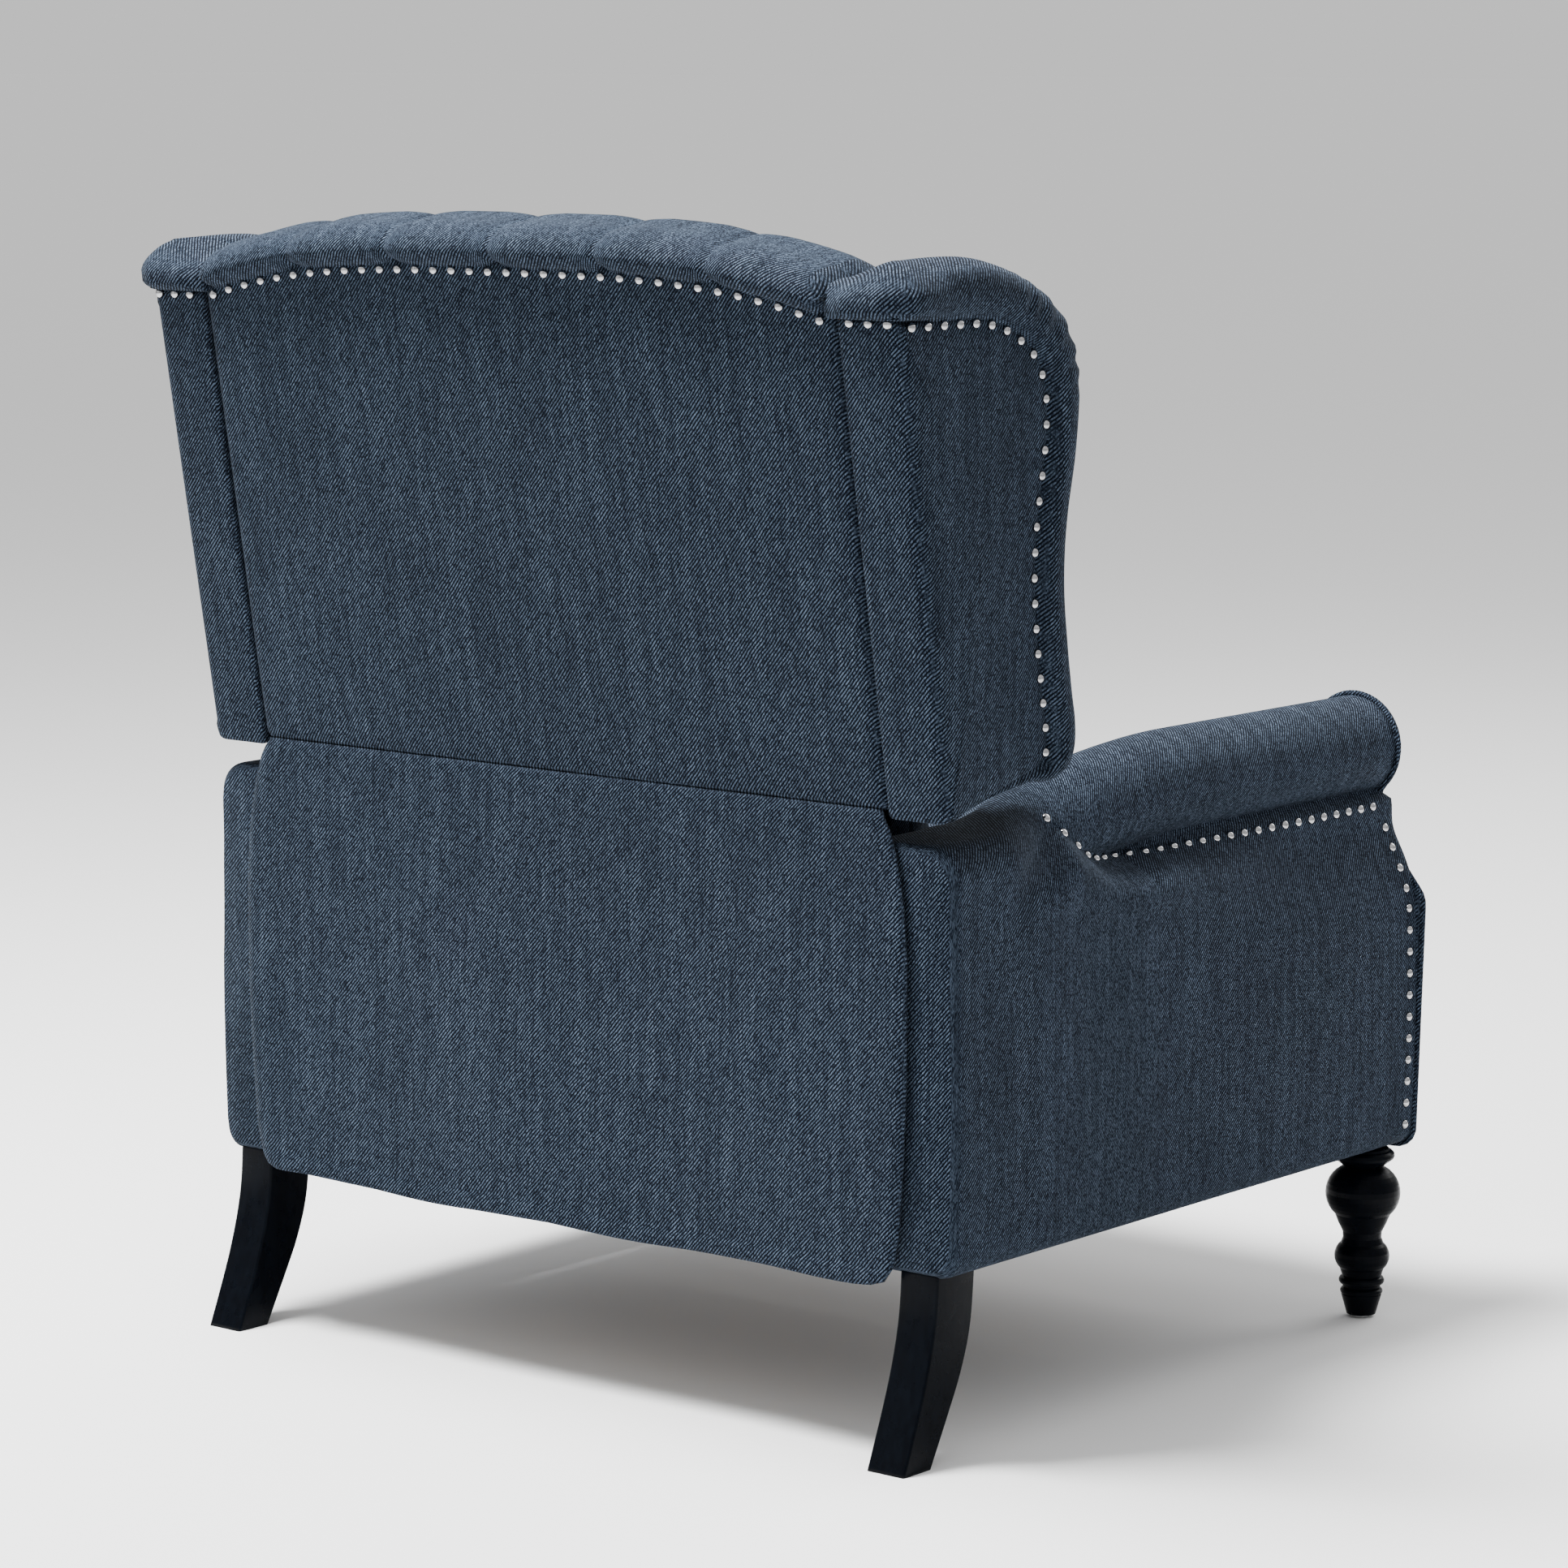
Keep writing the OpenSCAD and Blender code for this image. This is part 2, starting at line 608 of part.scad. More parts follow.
module wing_pad(side) color("#33475d") on_side(side) {
    plate_x(wing_pad_x, wing_board_x - gap - wing_pad_x) intersection() {
        polygon(concat(wing_soft, [on_back(frame_front - gap, 12), on_back(frame_front - gap, 355)]));
        raked_limit(frame_front - gap);
        polygon([[0, 0], [wing_top_y - 1, 0], [wing_top_y - 1, 500], [400, wing_step_z], [wing_top_y - 1, wing_step_z],
                 [wing_top_y - 1, far], [0, far]]);
    }
    // the padding wraps round the edge of the board
    plate_x(wing_board_x - gap, 40) difference() {
        polygon(concat(wing_soft, [wing_foot - [gap, 0], [330, 930]]));
        translate([-gap, 0]) polygon(wing_edge);
        translate([gap, gap]) polygon(wing_edge);
        polygon([[wing_foot[0], 0], wing_foot, [wing_top_y - 1, wing_top_z - 1], [wing_top_y - 1, far], [far, far],
                 [far, 0]]);
    }
}

// nails under the arch of the outside back, and three on each rear strip
module back_nails() color("silver") raked() {
    n = round(2 * (arch_half_w - nail_r) / nail_pitch);
    arch_xs = [for (i = [0:n]) (arch_half_w - nail_r) * (2 * i / n - 1)];
    strip_xs = [for (x = [388, 408, 428], s = [-1, 1]) s * x];
    for (x = concat(arch_xs, strip_xs))
        translate([x, nail_lift, arch_z(x) - nail_edge]) rotate([-90, 0, 0]) nail();
}

module wing_nails() color("silver") both_sides() {
    edge = [for (i = [1:len(wing_edge) - 1]) wing_edge[i]];
    for (p = spaced(beside(edge, -nail_edge), nail_pitch))
        translate([wing_outer_x + nail_lift, p[0], p[1]]) rotate([0, 90, 0]) nail();
}

// ---- hanging rear flap ----

flap_t = 3;
// the two pieces of the flap leave a band free in which the cloth bends
flap_low_top = 440;
flap_high_bottom = 472;
module flap_outline() {
    polygon([[-364, seam_z - 2], [364, seam_z - 2], [384, 527], [391, 490], [395, 440], [395, 325], [390, 175], [375, 157],
             [0, 151], [-375, 157], [-390, 175], [-395, 325], [-395, 440], [-391, 490], [-384, 527]]);
}
module rear_flap_lower() color("#2b3e53") plate_y(seam_y + 1, flap_t) intersection() {
    flap_outline();
    translate([-500, 0]) square([1000, flap_low_top]);
}
module rear_flap_upper() color("#2b3e53") plate_y(seam_y + 1, flap_t) intersection() {
    flap_outline();
    translate([-500, flap_high_bottom]) square([1000, seam_z - flap_high_bottom]);
}

// ---- footrest ----

module thigh_links() color("gray") both_sides() {
    link(x_thigh, knee_seat, knee, rivet_r + fit, rivet_r);
    bar_x(x_shin, x_thigh + link_t, knee, rivet_r);
}
module guide_links() color("gray") both_sides()
    link(x_thigh, guide_seat, guide_shin, rivet_r + fit, rivet_r + loose);
module shin_links() color("gray") both_sides() {
    link(x_shin, knee, foot_pivot, rivet_r + fit, rivet_r);
    bar_x(x_foot, x_shin + link_t, foot_pivot, rivet_r);
}

board_front_y = -372;
board_back_y = -360;
footrest_z = 180;
footrest_h = 159;
module footrest_board() color("burlywood") translate([-305, board_front_y, footrest_z + 3])
    cube([610, board_back_y - board_front_y, footrest_h - 4]);
module footrest_brackets() color("slategray") both_sides() difference() {
    union() {
        bar_x(x_foot, x_foot + link_t, foot_pivot, 12);
        plate_x(x_foot, link_t)
            polygon([[board_back_y, 235], [foot_pivot[0] + 6, 280], [foot_pivot[0], 302], [board_back_y, 302]]);
    }
    bar_x(x_foot - 1, x_foot + link_t + 1, foot_pivot, rivet_r + fit);
}
module footrest_pad() color("#364b61")
    translate([-cushion_half_w, cushion_front_y, footrest_z])
        cube([2 * cushion_half_w, board_front_y - gap - cushion_front_y, footrest_h]);

arm_frames();
arm_side(1);  // arm_side_left
arm_side(-1);  // arm_side_right
arm_pad(1);  // arm_pad_left
arm_pad(-1);  // arm_pad_right
arm_roll(1);  // arm_roll_left
arm_roll(-1);  // arm_roll_right
arm_front(1);  // arm_front_left
arm_front(-1);  // arm_front_right
arm_piping();
arm_nails();
front_leg(1);  // front_leg_left
front_leg(-1);  // front_leg_right
front_glides();
rear_leg(1);  // rear_leg_left
rear_leg(-1);  // rear_leg_right
front_rail();
rear_rail();
mechanism_rail(1);  // mechanism_rail_left
mechanism_rail(-1);  // mechanism_rail_right
base_rivets();
rear_flap_lower();
rear_swing_links();
torque_tube();
front_swing_links();
seat_plate(1);  // seat_plate_left
seat_plate(-1);  // seat_plate_right
seat_front_board();
seat_rear_board();
seat_side_boards();
seat_cross_tube();
seat_springs();
seat_rivets();
seat_cushion();
back_bracket(1);  // back_bracket_left
back_bracket(-1);  // back_bracket_right
back_posts();
back_top_rail();
back_wing_rail();
back_bottom_rail();
back_rivets();
outside_back();
inside_back_pad();
top_roll();
wing_board(1);  // wing_board_left
wing_board(-1);  // wing_board_right
wing_cover(1);  // wing_cover_left
wing_cover(-1);  // wing_cover_right
wing_pad(1);  // wing_pad_left
wing_pad(-1);  // wing_pad_right
back_nails();
wing_nails();
rear_flap_upper();
drive_links();
thigh_links();
guide_links();
shin_links();
footrest_brackets();
footrest_board();
footrest_pad();
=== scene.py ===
import json
import math

import bmesh
import bpy
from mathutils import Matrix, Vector, noise
from mathutils.bvhtree import BVHTree


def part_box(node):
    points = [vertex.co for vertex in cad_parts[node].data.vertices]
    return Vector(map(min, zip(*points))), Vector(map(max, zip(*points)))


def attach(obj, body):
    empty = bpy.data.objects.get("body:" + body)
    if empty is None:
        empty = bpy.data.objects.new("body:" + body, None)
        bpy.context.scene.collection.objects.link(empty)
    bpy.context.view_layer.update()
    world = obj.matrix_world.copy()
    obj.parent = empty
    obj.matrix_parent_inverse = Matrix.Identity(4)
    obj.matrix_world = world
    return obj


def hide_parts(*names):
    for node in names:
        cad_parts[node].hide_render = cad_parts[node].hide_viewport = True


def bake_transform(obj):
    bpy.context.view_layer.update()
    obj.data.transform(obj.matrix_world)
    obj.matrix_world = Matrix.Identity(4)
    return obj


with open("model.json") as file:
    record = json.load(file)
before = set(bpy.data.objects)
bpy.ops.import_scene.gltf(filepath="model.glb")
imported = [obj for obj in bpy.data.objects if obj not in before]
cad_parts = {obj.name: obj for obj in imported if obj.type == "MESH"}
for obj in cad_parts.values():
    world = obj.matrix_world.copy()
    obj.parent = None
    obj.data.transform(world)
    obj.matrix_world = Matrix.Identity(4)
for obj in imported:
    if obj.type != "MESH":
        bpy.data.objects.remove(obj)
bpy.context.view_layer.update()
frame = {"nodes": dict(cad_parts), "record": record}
SIDES = {"left": 1, "right": -1}
MM = 0.001


# ---- small maths

def clamp(x, low, high):
    return min(max(x, low), high)


def smooth(a, b, x):
    """0 before a, 1 after b, and a soft step between them."""
    t = clamp((x - a) / (b - a), 0.0, 1.0)
    return t * t * (3 - 2 * t)


def hump(distance, width, power=2):
    """1 at no distance, falling off over the width."""
    return math.exp(-(distance / width) ** power)


def mix(a, b, t):
    return a + (b - a) * t


def arc(cx, cz, r, start, end, count):
    """Points on an arc, angles in degrees."""
    steps = [math.radians(mix(start, end, i / (count - 1))) for i in range(count)]
    return [(cx + r * math.cos(a), cz + r * math.sin(a)) for a in steps]


def resample(points, count, closed=False):
    """count points, evenly spaced along a polyline of any dimension."""
    pts = [Vector(p) for p in points]
    if closed:
        pts.append(pts[0])
    runs = [0.0]
    for a, b in zip(pts, pts[1:]):
        runs.append(runs[-1] + (b - a).length)
    parts = count if closed else count - 1
    out = []
    k = 0
    for i in range(count):
        s = runs[-1] * i / parts
        while k < len(runs) - 2 and runs[k + 1] < s:
            k += 1
        span = runs[k + 1] - runs[k]
        out.append(pts[k].lerp(pts[k + 1], (s - runs[k]) / span if span else 0.0))
    return out


def flat(pairs):
    """Pairs of numbers as points of a plane."""
    return [Vector((*p, 0)) for p in pairs]


def curve_through(points, count):
    """count points on a smooth curve through the given points."""
    pts = [Vector(p) for p in points]
    n = len(pts)
    fine = []
    for i in range(n - 1):
        p0, p1, p2, p3 = pts[max(i - 1, 0)], pts[i], pts[i + 1], pts[min(i + 2, n - 1)]
        for k in range(12):
            t = k / 12
            fine.append(0.5 * (2 * p1 + (p2 - p0) * t + (2 * p0 - 5 * p1 + 4 * p2 - p3) * t * t
                               + (3 * p1 - p0 - 3 * p2 + p3) * t ** 3))
    return resample(fine + [pts[-1]], count)


# ---- meshes

def configure(target, **values):
    for key, value in values.items():
        setattr(target, key, value)
    return target


def add(name, data):
    """A new object in the scene."""
    obj = bpy.data.objects.new(name, data)
    bpy.context.scene.collection.objects.link(obj)
    return obj


def piece(name, verts, faces, material, smooth_shade=True):
    mesh = bpy.data.meshes.new(name)
    mesh.from_pydata([tuple(v) for v in verts], [], faces)
    mesh.validate()
    mesh.polygons.foreach_set("use_smooth", [smooth_shade] * len(mesh.polygons))
    mesh.materials.append(material)
    return add(name, mesh)


def face_outward(obj, weld=0.0):
    """Turns the faces outward, after joining points that lie within the weld distance."""
    bm = bmesh.new()
    bm.from_mesh(obj.data)
    if weld:
        bmesh.ops.remove_doubles(bm, verts=bm.verts, dist=weld)
    bmesh.ops.recalc_face_normals(bm, faces=bm.faces)
    bm.to_mesh(obj.data)
    bm.free()


def loft(name, rings, material, caps=True, turn=1, cap_material=None, cap_rings=0):
    """A skin over closed rings of equal length. The cloth attribute holds lengths along and across the rings.

    cap_material goes on the end caps, and on the outermost cap_rings strips of the skin.
    """
    n = len(rings[0])
    verts = [v for ring in rings for v in ring]
    faces = []
    for j in range(len(rings) - 1):
        for i in range(n):
            k = (i + 1) % n
            faces.append((j * n + i, j * n + k, (j + 1) * n + k, (j + 1) * n + i))
    if caps:
        faces.append(tuple(reversed(range(n))))
        faces.append(tuple((len(rings) - 1) * n + i for i in range(n)))
    obj = piece(name, verts, faces, material)
    around = []
    for ring in rings:
        run = [0.0]
        for i in range(n):
            run.append(run[-1] + (Vector(ring[(i + 1) % n]) - Vector(ring[i])).length)
        around.append(run)
    middle = n // 2
    along = [0.0]
    for a, b in zip(rings, rings[1:]):
        along.append(along[-1] + (Vector(b[middle]) - Vector(a[middle])).length)
    layer = obj.data.attributes.new("cloth", "FLOAT_VECTOR", "CORNER")
    for j in range(len(rings) - 1):
        for i in range(n):
            corners = ((j, i), (j, i + 1), (j + 1, i + 1), (j + 1, i))
            start = obj.data.polygons[j * n + i].loop_start
            for c, (row, col) in enumerate(corners):
                layer.data[start + c].vector = (along[row], turn * around[row][col], 0.0)
    if cap_material:
        obj.data.materials.append(cap_material)
        last = len(obj.data.polygons) - 2 - cap_rings * n
        for face in obj.data.polygons:
            if face.index < cap_rings * n or face.index >= last:
                face.material_index = 1
    face_outward(obj)
    return obj


def tube(name, points, radius, material, closed=False, sides=10):
    """A round bar along a smooth path, such as piping."""
    n = len(points)
    pts = [Vector(p) for p in points]
    rings = []
    side = None
    for i in range(n):
        if closed:
            ahead, behind = pts[(i + 1) % n], pts[i - 1]
        else:
            ahead, behind = pts[min(i + 1, n - 1)], pts[max(i - 1, 0)]
        t = (ahead - behind).normalized()
        if side is None:
            side = t.orthogonal().normalized()
        side = (side - t * side.dot(t)).normalized()
        up = t.cross(side)
        rings.append([pts[i] + radius * (math.cos(a) * side + math.sin(a) * up)
                      for a in (2 * math.pi * k / sides for k in range(sides))])
    if closed:
        rings.append(rings[0])
    obj = loft(name, rings, material, caps=not closed)
    if closed:
        face_outward(obj, weld=1e-5)
    return obj


def domes(name, places, section, material, sides, tip=None):
    """Domed heads, one for each (point, outward normal). section holds pairs of radius and height.

    tip is the height of a pole on top. Without it the top is flat.
    """
    verts, faces = [], []
    for p, normal in places:
        w = Vector(normal).normalized()
        u = w.orthogonal().normalized()
        v = w.cross(u)
        base = len(verts)
        for r, h in section:
            for k in range(sides):
                a = 2 * math.pi * k / sides
                verts.append(Vector(p) + r * math.cos(a) * u + r * math.sin(a) * v + h * w)
        for j in range(len(section) - 1):
            a, b = base + j * sides, base + (j + 1) * sides
            for k in range(sides):
                m = (k + 1) % sides
                faces.append((a + k, a + m, b + m, b + k))
        last = base + (len(section) - 1) * sides
        if tip is None:
            faces.append(tuple(last + k for k in range(sides)))
        else:
            faces += [(last + k, last + (k + 1) % sides, len(verts)) for k in range(sides)]
            verts.append(Vector(p) + tip * w)
        faces.append(tuple(base + k for k in reversed(range(sides))))
    return piece(name, verts, faces, material)


def surface_tree(obj):
    faces = [tuple(f.vertices) for f in obj.data.polygons]
    return BVHTree.FromPolygons([v.co for v in obj.data.vertices], faces)


def dress(obj, body, replaced=()):
    """Sets the body a piece rides on, and hides the nodes it stands for."""
    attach(obj, body)
    if replaced:
        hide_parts(*replaced)


def apply_modifiers(obj):
    depsgraph = bpy.context.evaluated_depsgraph_get()
    mesh = bpy.data.meshes.new_from_object(obj.evaluated_get(depsgraph))
    old = obj.data
    obj.modifiers.clear()
    obj.data = mesh
    bpy.data.meshes.remove(old)


# ---- materials

class Shader:
    """One node material, built by short calls."""

    def __init__(self, name):
        self.material = bpy.data.materials.new(name)
        self.material.use_nodes = True
        self.tree = self.material.node_tree
        self.bsdf = self.tree.nodes["Principled BSDF"]

    def put(self, value, socket):
        if isinstance(value, bpy.types.NodeSocket):
            self.tree.links.new(value, socket)
        else:
            socket.default_value = value

    def node(self, kind, inputs=(), **settings):
        made = configure(self.tree.nodes.new(kind), **settings)
        for key, value in dict(inputs).items():
            self.put(value, made.inputs[key])
        return made

    def math(self, operation, a, b=0.0, c=0.0):
        return self.node("ShaderNodeMath", {0: a, 1: b, 2: c}, operation=operation).outputs[0]

    def vector(self, operation, a, b=(0, 0, 0)):
        return self.node("ShaderNodeVectorMath", {0: a, 1: b}, operation=operation).outputs[0]

    def noise(self, coords, scale, detail=2.0, rough=0.5):
        inputs = {"Vector": coords, "Scale": scale, "Detail": detail, "Roughness": rough}
        return self.node("ShaderNodeTexNoise", inputs).outputs["Fac"]

    def remap(self, value, a, b, c, d):
        inputs = {0: value, 1: a, 2: b, 3: c, 4: d}
        return self.node("ShaderNodeMapRange", inputs, clamp=True).outputs[0]

    def coords(self, kind="Object"):
        return self.node("ShaderNodeTexCoord").outputs[kind]

    def xyz(self, vector):
        return self.node("ShaderNodeSeparateXYZ", {0: vector}).outputs

    def combine(self, x, y, z=0.0):
        return self.node("ShaderNodeCombineXYZ", {0: x, 1: y, 2: z}).outputs[0]

    def blend(self, factor, a, b, kind="MIX"):
        inputs = {0: factor, 6: a, 7: b}
        return self.node("ShaderNodeMix", inputs, data_type="RGBA", blend_type=kind).outputs[2]

    def bump(self, height, strength, distance):
        inputs = {"Height": height, "Strength": strength, "Distance": distance}
        self.put(self.node("ShaderNodeBump", inputs).outputs[0], self.bsdf.inputs["Normal"])

    def set(self, **values):
        for key, value in values.items():
            self.put(value, self.bsdf.inputs[key.replace("_", " ")])


# spacing and slope of the ribs, size of the flecks across and up, and colours
TWILL_PITCH = 2.7 * MM
TWILL_ANGLE = math.radians(47)
YARN = (0.8 * MM, 1.9 * MM)
NAVY_DEEP = (0.0004, 0.0010, 0.0030, 1)
NAVY = (0.0021, 0.0045, 0.0104, 1)
FLECK = (0.112, 0.155, 0.224, 1)
LACQUER_TONES = ((0.0006, 0.0010, 0.0020, 1), (0.0012, 0.0020, 0.0036, 1))
PLYWOOD_TONES = ((0.36, 0.215, 0.105, 1), (0.60, 0.42, 0.24, 1))


def weave(s, plane):
    """Paleness of the weave and height of its ribs over a flat plane, given as metres across and up."""
    across, up = s.xyz(plane)[:2]
    wander = s.noise(s.vector("MULTIPLY", plane, (45, 45, 45)), 1.0, 1.0)
    phase = s.math("MULTIPLY_ADD", across, math.sin(TWILL_ANGLE) / TWILL_PITCH,
                   s.math("MULTIPLY", up, math.cos(TWILL_ANGLE) / TWILL_PITCH))
    phase = s.math("MULTIPLY_ADD", wander, 0.9, phase)
    band = s.math("SINE", s.math("MULTIPLY", phase, 2 * math.pi))
    cell = s.vector("FLOOR", s.vector("MULTIPLY", plane, (1 / YARN[0], 1 / YARN[1], 1)))
    fleck = s.node("ShaderNodeTexWhiteNoise", {0: cell}, noise_dimensions="2D").outputs[0]
    streak = s.noise(s.vector("MULTIPLY", plane, (420, 14, 1)), 1.0, 2.0)
    slub = s.noise(s.vector("MULTIPLY", plane, (95, 5, 1)), 1.0, 2.0)
    rib = s.remap(band, -0.55, 1.0, 0.0, 1.0)
    pale = s.math("MULTIPLY", rib, s.remap(fleck, 0.10, 1.0, 0.06, 1.0))
    uneven = s.math("ADD", s.remap(streak, 0.34, 0.68, 0.55, 1.0), s.remap(slub, 0.4, 0.7, -0.12, 0.2))
    return s.math("MULTIPLY", pale, uneven), rib


def twill(name, mapping):
    """Navy twill. mapping is "attribute" for skins that carry lengths of cloth, or "box" for other forms."""
    s = Shader(name)
    if mapping == "attribute":
        coords = s.node("ShaderNodeAttribute", attribute_name="cloth").outputs["Vector"]
        pale, rib = weave(s, coords)
    else:
        xyz = s.xyz(s.coords())
        normal = s.xyz(s.coords("Normal"))
        planes = [s.combine(xyz[a], xyz[b]) for a, b in ((0, 2), (1, 2), (0, 1))]
        facing = [s.math("POWER", s.math("ABSOLUTE", normal[k]), 6.0) for k in (1, 0, 2)]
        total = s.math("ADD", s.math("ADD", facing[0], facing[1]), facing[2])
        pale = rib = 0.0
        for plane, weight in zip(planes, facing):
            share = s.math("DIVIDE", weight, total)
            one_pale, one_rib = weave(s, plane)
            pale = s.math("MULTIPLY_ADD", one_pale, share, pale)
            rib = s.math("MULTIPLY_ADD", one_rib, share, rib)
    ground = s.blend(s.math("MULTIPLY", rib, 0.75), NAVY_DEEP, NAVY)
    colour = s.blend(s.math("MULTIPLY", pale, 0.9), ground, FLECK)
    # painted shade: a soft noise darkens or lightens the twill's colour by up to 6 per cent, standing in for
    # the shading of small wrinkles
    shade = s.remap(s.noise(s.coords(), 7.0, 3.0), 0.3, 0.7, 0.94, 1.06)
    wrinkle_shaded = s.blend(1.0, colour, s.combine(shade, shade, shade), "MULTIPLY")
    s.set(Base_Color=wrinkle_shaded, Roughness=s.remap(pale, 0.0, 0.8, 0.92, 0.72), Specular_IOR_Level=0.07,
          Sheen_Weight=0.025, Sheen_Roughness=0.45, Sheen_Tint=(0.55, 0.66, 0.78, 1))
    s.bump(s.math("ADD", s.math("MULTIPLY", rib, 0.7), pale), 0.55, 0.0006)
    return s.material


def lacquer(name):
    s = Shader(name)
    coords = s.coords()
    grain = s.noise(s.vector("MULTIPLY", coords, (60, 60, 9)), 3.0, 4.0)
    fine = s.noise(coords, 90.0, 3.0)
    colour = s.blend(s.remap(grain, 0.35, 0.7, 0, 1), *LACQUER_TONES)
    s.set(Base_Color=colour, Roughness=s.remap(fine, 0.3, 0.7, 0.24, 0.36), Specular_IOR_Level=0.04)
    s.bump(grain, 0.12, 0.0004)
    return s.material


def metal(name, colour, rough_low, rough_high, metallic=1.0, scale=260.0, bump=0.05):
    s = Shader(name)
    mottle = s.noise(s.coords(), scale, 3.0)
    dark = tuple(c * 0.72 for c in colour[:3]) + (1,)
    s.set(Base_Color=s.blend(s.remap(mottle, 0.35, 0.7, 0, 1), dark, colour),
          Roughness=s.remap(mottle, 0.3, 0.7, rough_low, rough_high), Metallic=metallic)
    s.bump(mottle, bump, 0.0003)
    return s.material


def plywood(name):
    s = Shader(name)
    coords = s.coords()
    grain = s.noise(s.vector("MULTIPLY", coords, (5, 70, 70)), 2.0, 5.0, 0.6)
    wave = {"Vector": coords, "Scale": 14.0, "Distortion": 6.0, "Detail": 3.0}
    layers = s.node("ShaderNodeTexWave", wave).outputs[1]
    pattern = s.math("MULTIPLY_ADD", layers, 0.3, s.math("MULTIPLY", grain, 0.7))
    colour = s.blend(s.remap(pattern, 0.3, 0.7, 0, 1), *PLYWOOD_TONES)
    s.set(Base_Color=colour, Roughness=s.remap(grain, 0.3, 0.7, 0.55, 0.75))
    s.bump(grain, 0.2, 0.0005)
    return s.material


TWILL = twill("navy_twill", "attribute")
TWILL_BOX = twill("navy_twill_padding", "box")
LACQUER = lacquer("leg_lacquer")
NICKEL = metal("nickel_nails", (0.46, 0.46, 0.47, 1), 0.07, 0.14, scale=500.0, bump=0.02)
ZINC = metal("zinc", (0.56, 0.57, 0.58, 1), 0.28, 0.42)
SPRING = metal("spring_wire", (0.34, 0.34, 0.35, 1), 0.30, 0.45)
COATED = metal("black_coat", (0.030, 0.031, 0.034, 1), 0.38, 0.55, metallic=0.0, scale=700.0, bump=0.15)
PLYWOOD = plywood("plywood")

CAD_LOOKS = {"frame_wood": PLYWOOD, "leg_wood": LACQUER, "nails": NICKEL, "mechanism_steel": COATED,
             "zinc": ZINC, "spring_steel": SPRING, "upholstery": TWILL_BOX, "cushion": TWILL_BOX,
             "flap_fabric": TWILL_BOX}
# boards whose cover shows in the gaps round the seat
CLOTH_COVERED = ("footrest_board", "seat_front_board", "seat_rear_board", "seat_side_boards",
                 "back_bottom_rail", "back_posts", "back_wing_rail")
for part in frame["record"]["subparts"]:
    node = frame["nodes"][part["node"]]
    node.data.materials.clear()
    look = TWILL_BOX if part["node"] in CLOTH_COVERED else CAD_LOOKS[part["material_slot"]]
    node.data.materials.append(look)


# ---- places taken from the frame

ARM_LOW, ARM_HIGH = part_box("arm_side_left")
FRONT_LOW, FRONT_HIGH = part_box("arm_front_left")
ROLL_LOW, ROLL_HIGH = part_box("arm_roll_left")
ROLL_R = (ROLL_HIGH.x - ROLL_LOW.x) / 2
ROLL_X = (ROLL_HIGH.x + ROLL_LOW.x) / 2
ROLL_Z = FRONT_HIGH.z - ROLL_R
ARM_BOTTOM = ARM_LOW.z
ARM_IN = ARM_LOW.x
ARM_OUT = ARM_HIGH.x
ARM_REAR = ARM_HIGH.y
ARM_FRONT = FRONT_LOW.y

PANEL_LOW, PANEL_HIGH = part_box("outside_back")
PANEL_T = 8 * MM
SEAM = Vector((0, PANEL_LOW.y + PANEL_T, PANEL_LOW.z))
RAKE = math.atan2(PANEL_HIGH.y - SEAM.y, PANEL_HIGH.z - SEAM.z)
PANEL_X = PANEL_HIGH.x
WING_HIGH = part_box("wing_cover_left")[1]
WING_X = WING_HIGH.x
# lengths up the raked back: to the corners, and to the top of the nail arch
BACK_H = (WING_HIGH.z - SEAM.z) / math.cos(RAKE)
ARCH_H = (PANEL_HIGH.z - SEAM.z) / math.cos(RAKE)
CREST_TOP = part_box("top_roll")[1].z


def on_back(x, out, up):
    """A point of the raked back: out is how far behind its outside face, up runs along it from the seam."""
    c, s = math.cos(RAKE), math.sin(RAKE)
    return Vector((x, SEAM.y + out * c + up * s, SEAM.z + up * c - out * s))


BACK_NORMAL = Vector((0, math.cos(RAKE), -math.sin(RAKE)))


# ---- arms

# narrowest place of the arm front under the roll, and the shoulder below it
NECK_X = 0.389
NECK_Z = 0.496
SHOULDER_Z = 0.400
# x of the side's cloth where it runs in under the roll
NECK_SKIN = 0.4105
# where the round roll turns into the square rear end of the arm
ROLL_FADE = (0.130, 0.240)
BLOCK_ROUND = 0.030
LOW_ROUND = 0.018
# nails under the roll, [y, z], and down the front edge of the arm, [x, z]
ARM_NAIL_LINE = ((0.142, 0.547), (0.132, 0.538), (0.118, 0.526), (0.102, 0.515), (0.084, 0.5065),
                 (0.055, 0.5015), (0.0, 0.4990), (-0.10, 0.4985), (-0.373, 0.4985))
ARM_NAIL_FRONT = ((0.404, 0.472), (0.418, 0.449), (0.434, 0.424), (0.444, 0.404), (0.4465, 0.380),
                  (0.447, 0.30), (0.444, 0.188))


def roll_drop(y):
    """How far the roll's top has fallen, going rearward."""
    return 0.032 * smooth(-0.10, 0.27, y) + 0.024 * smooth(0.04, 0.25, y)


def crease_z(y):
    """Height of the crease under the roll, which climbs and ends where the side panel swallows the roll."""
    line = ARM_NAIL_LINE
    if y >= line[0][0]:
        return line[0][1] + 0.6 * (y - line[0][0])
    for (y1, z1), (y0, z0) in zip(line, line[1:]):
        if y >= y0:
            return mix(z0, z1, (y - y0) / (y1 - y0))
    return line[-1][1]


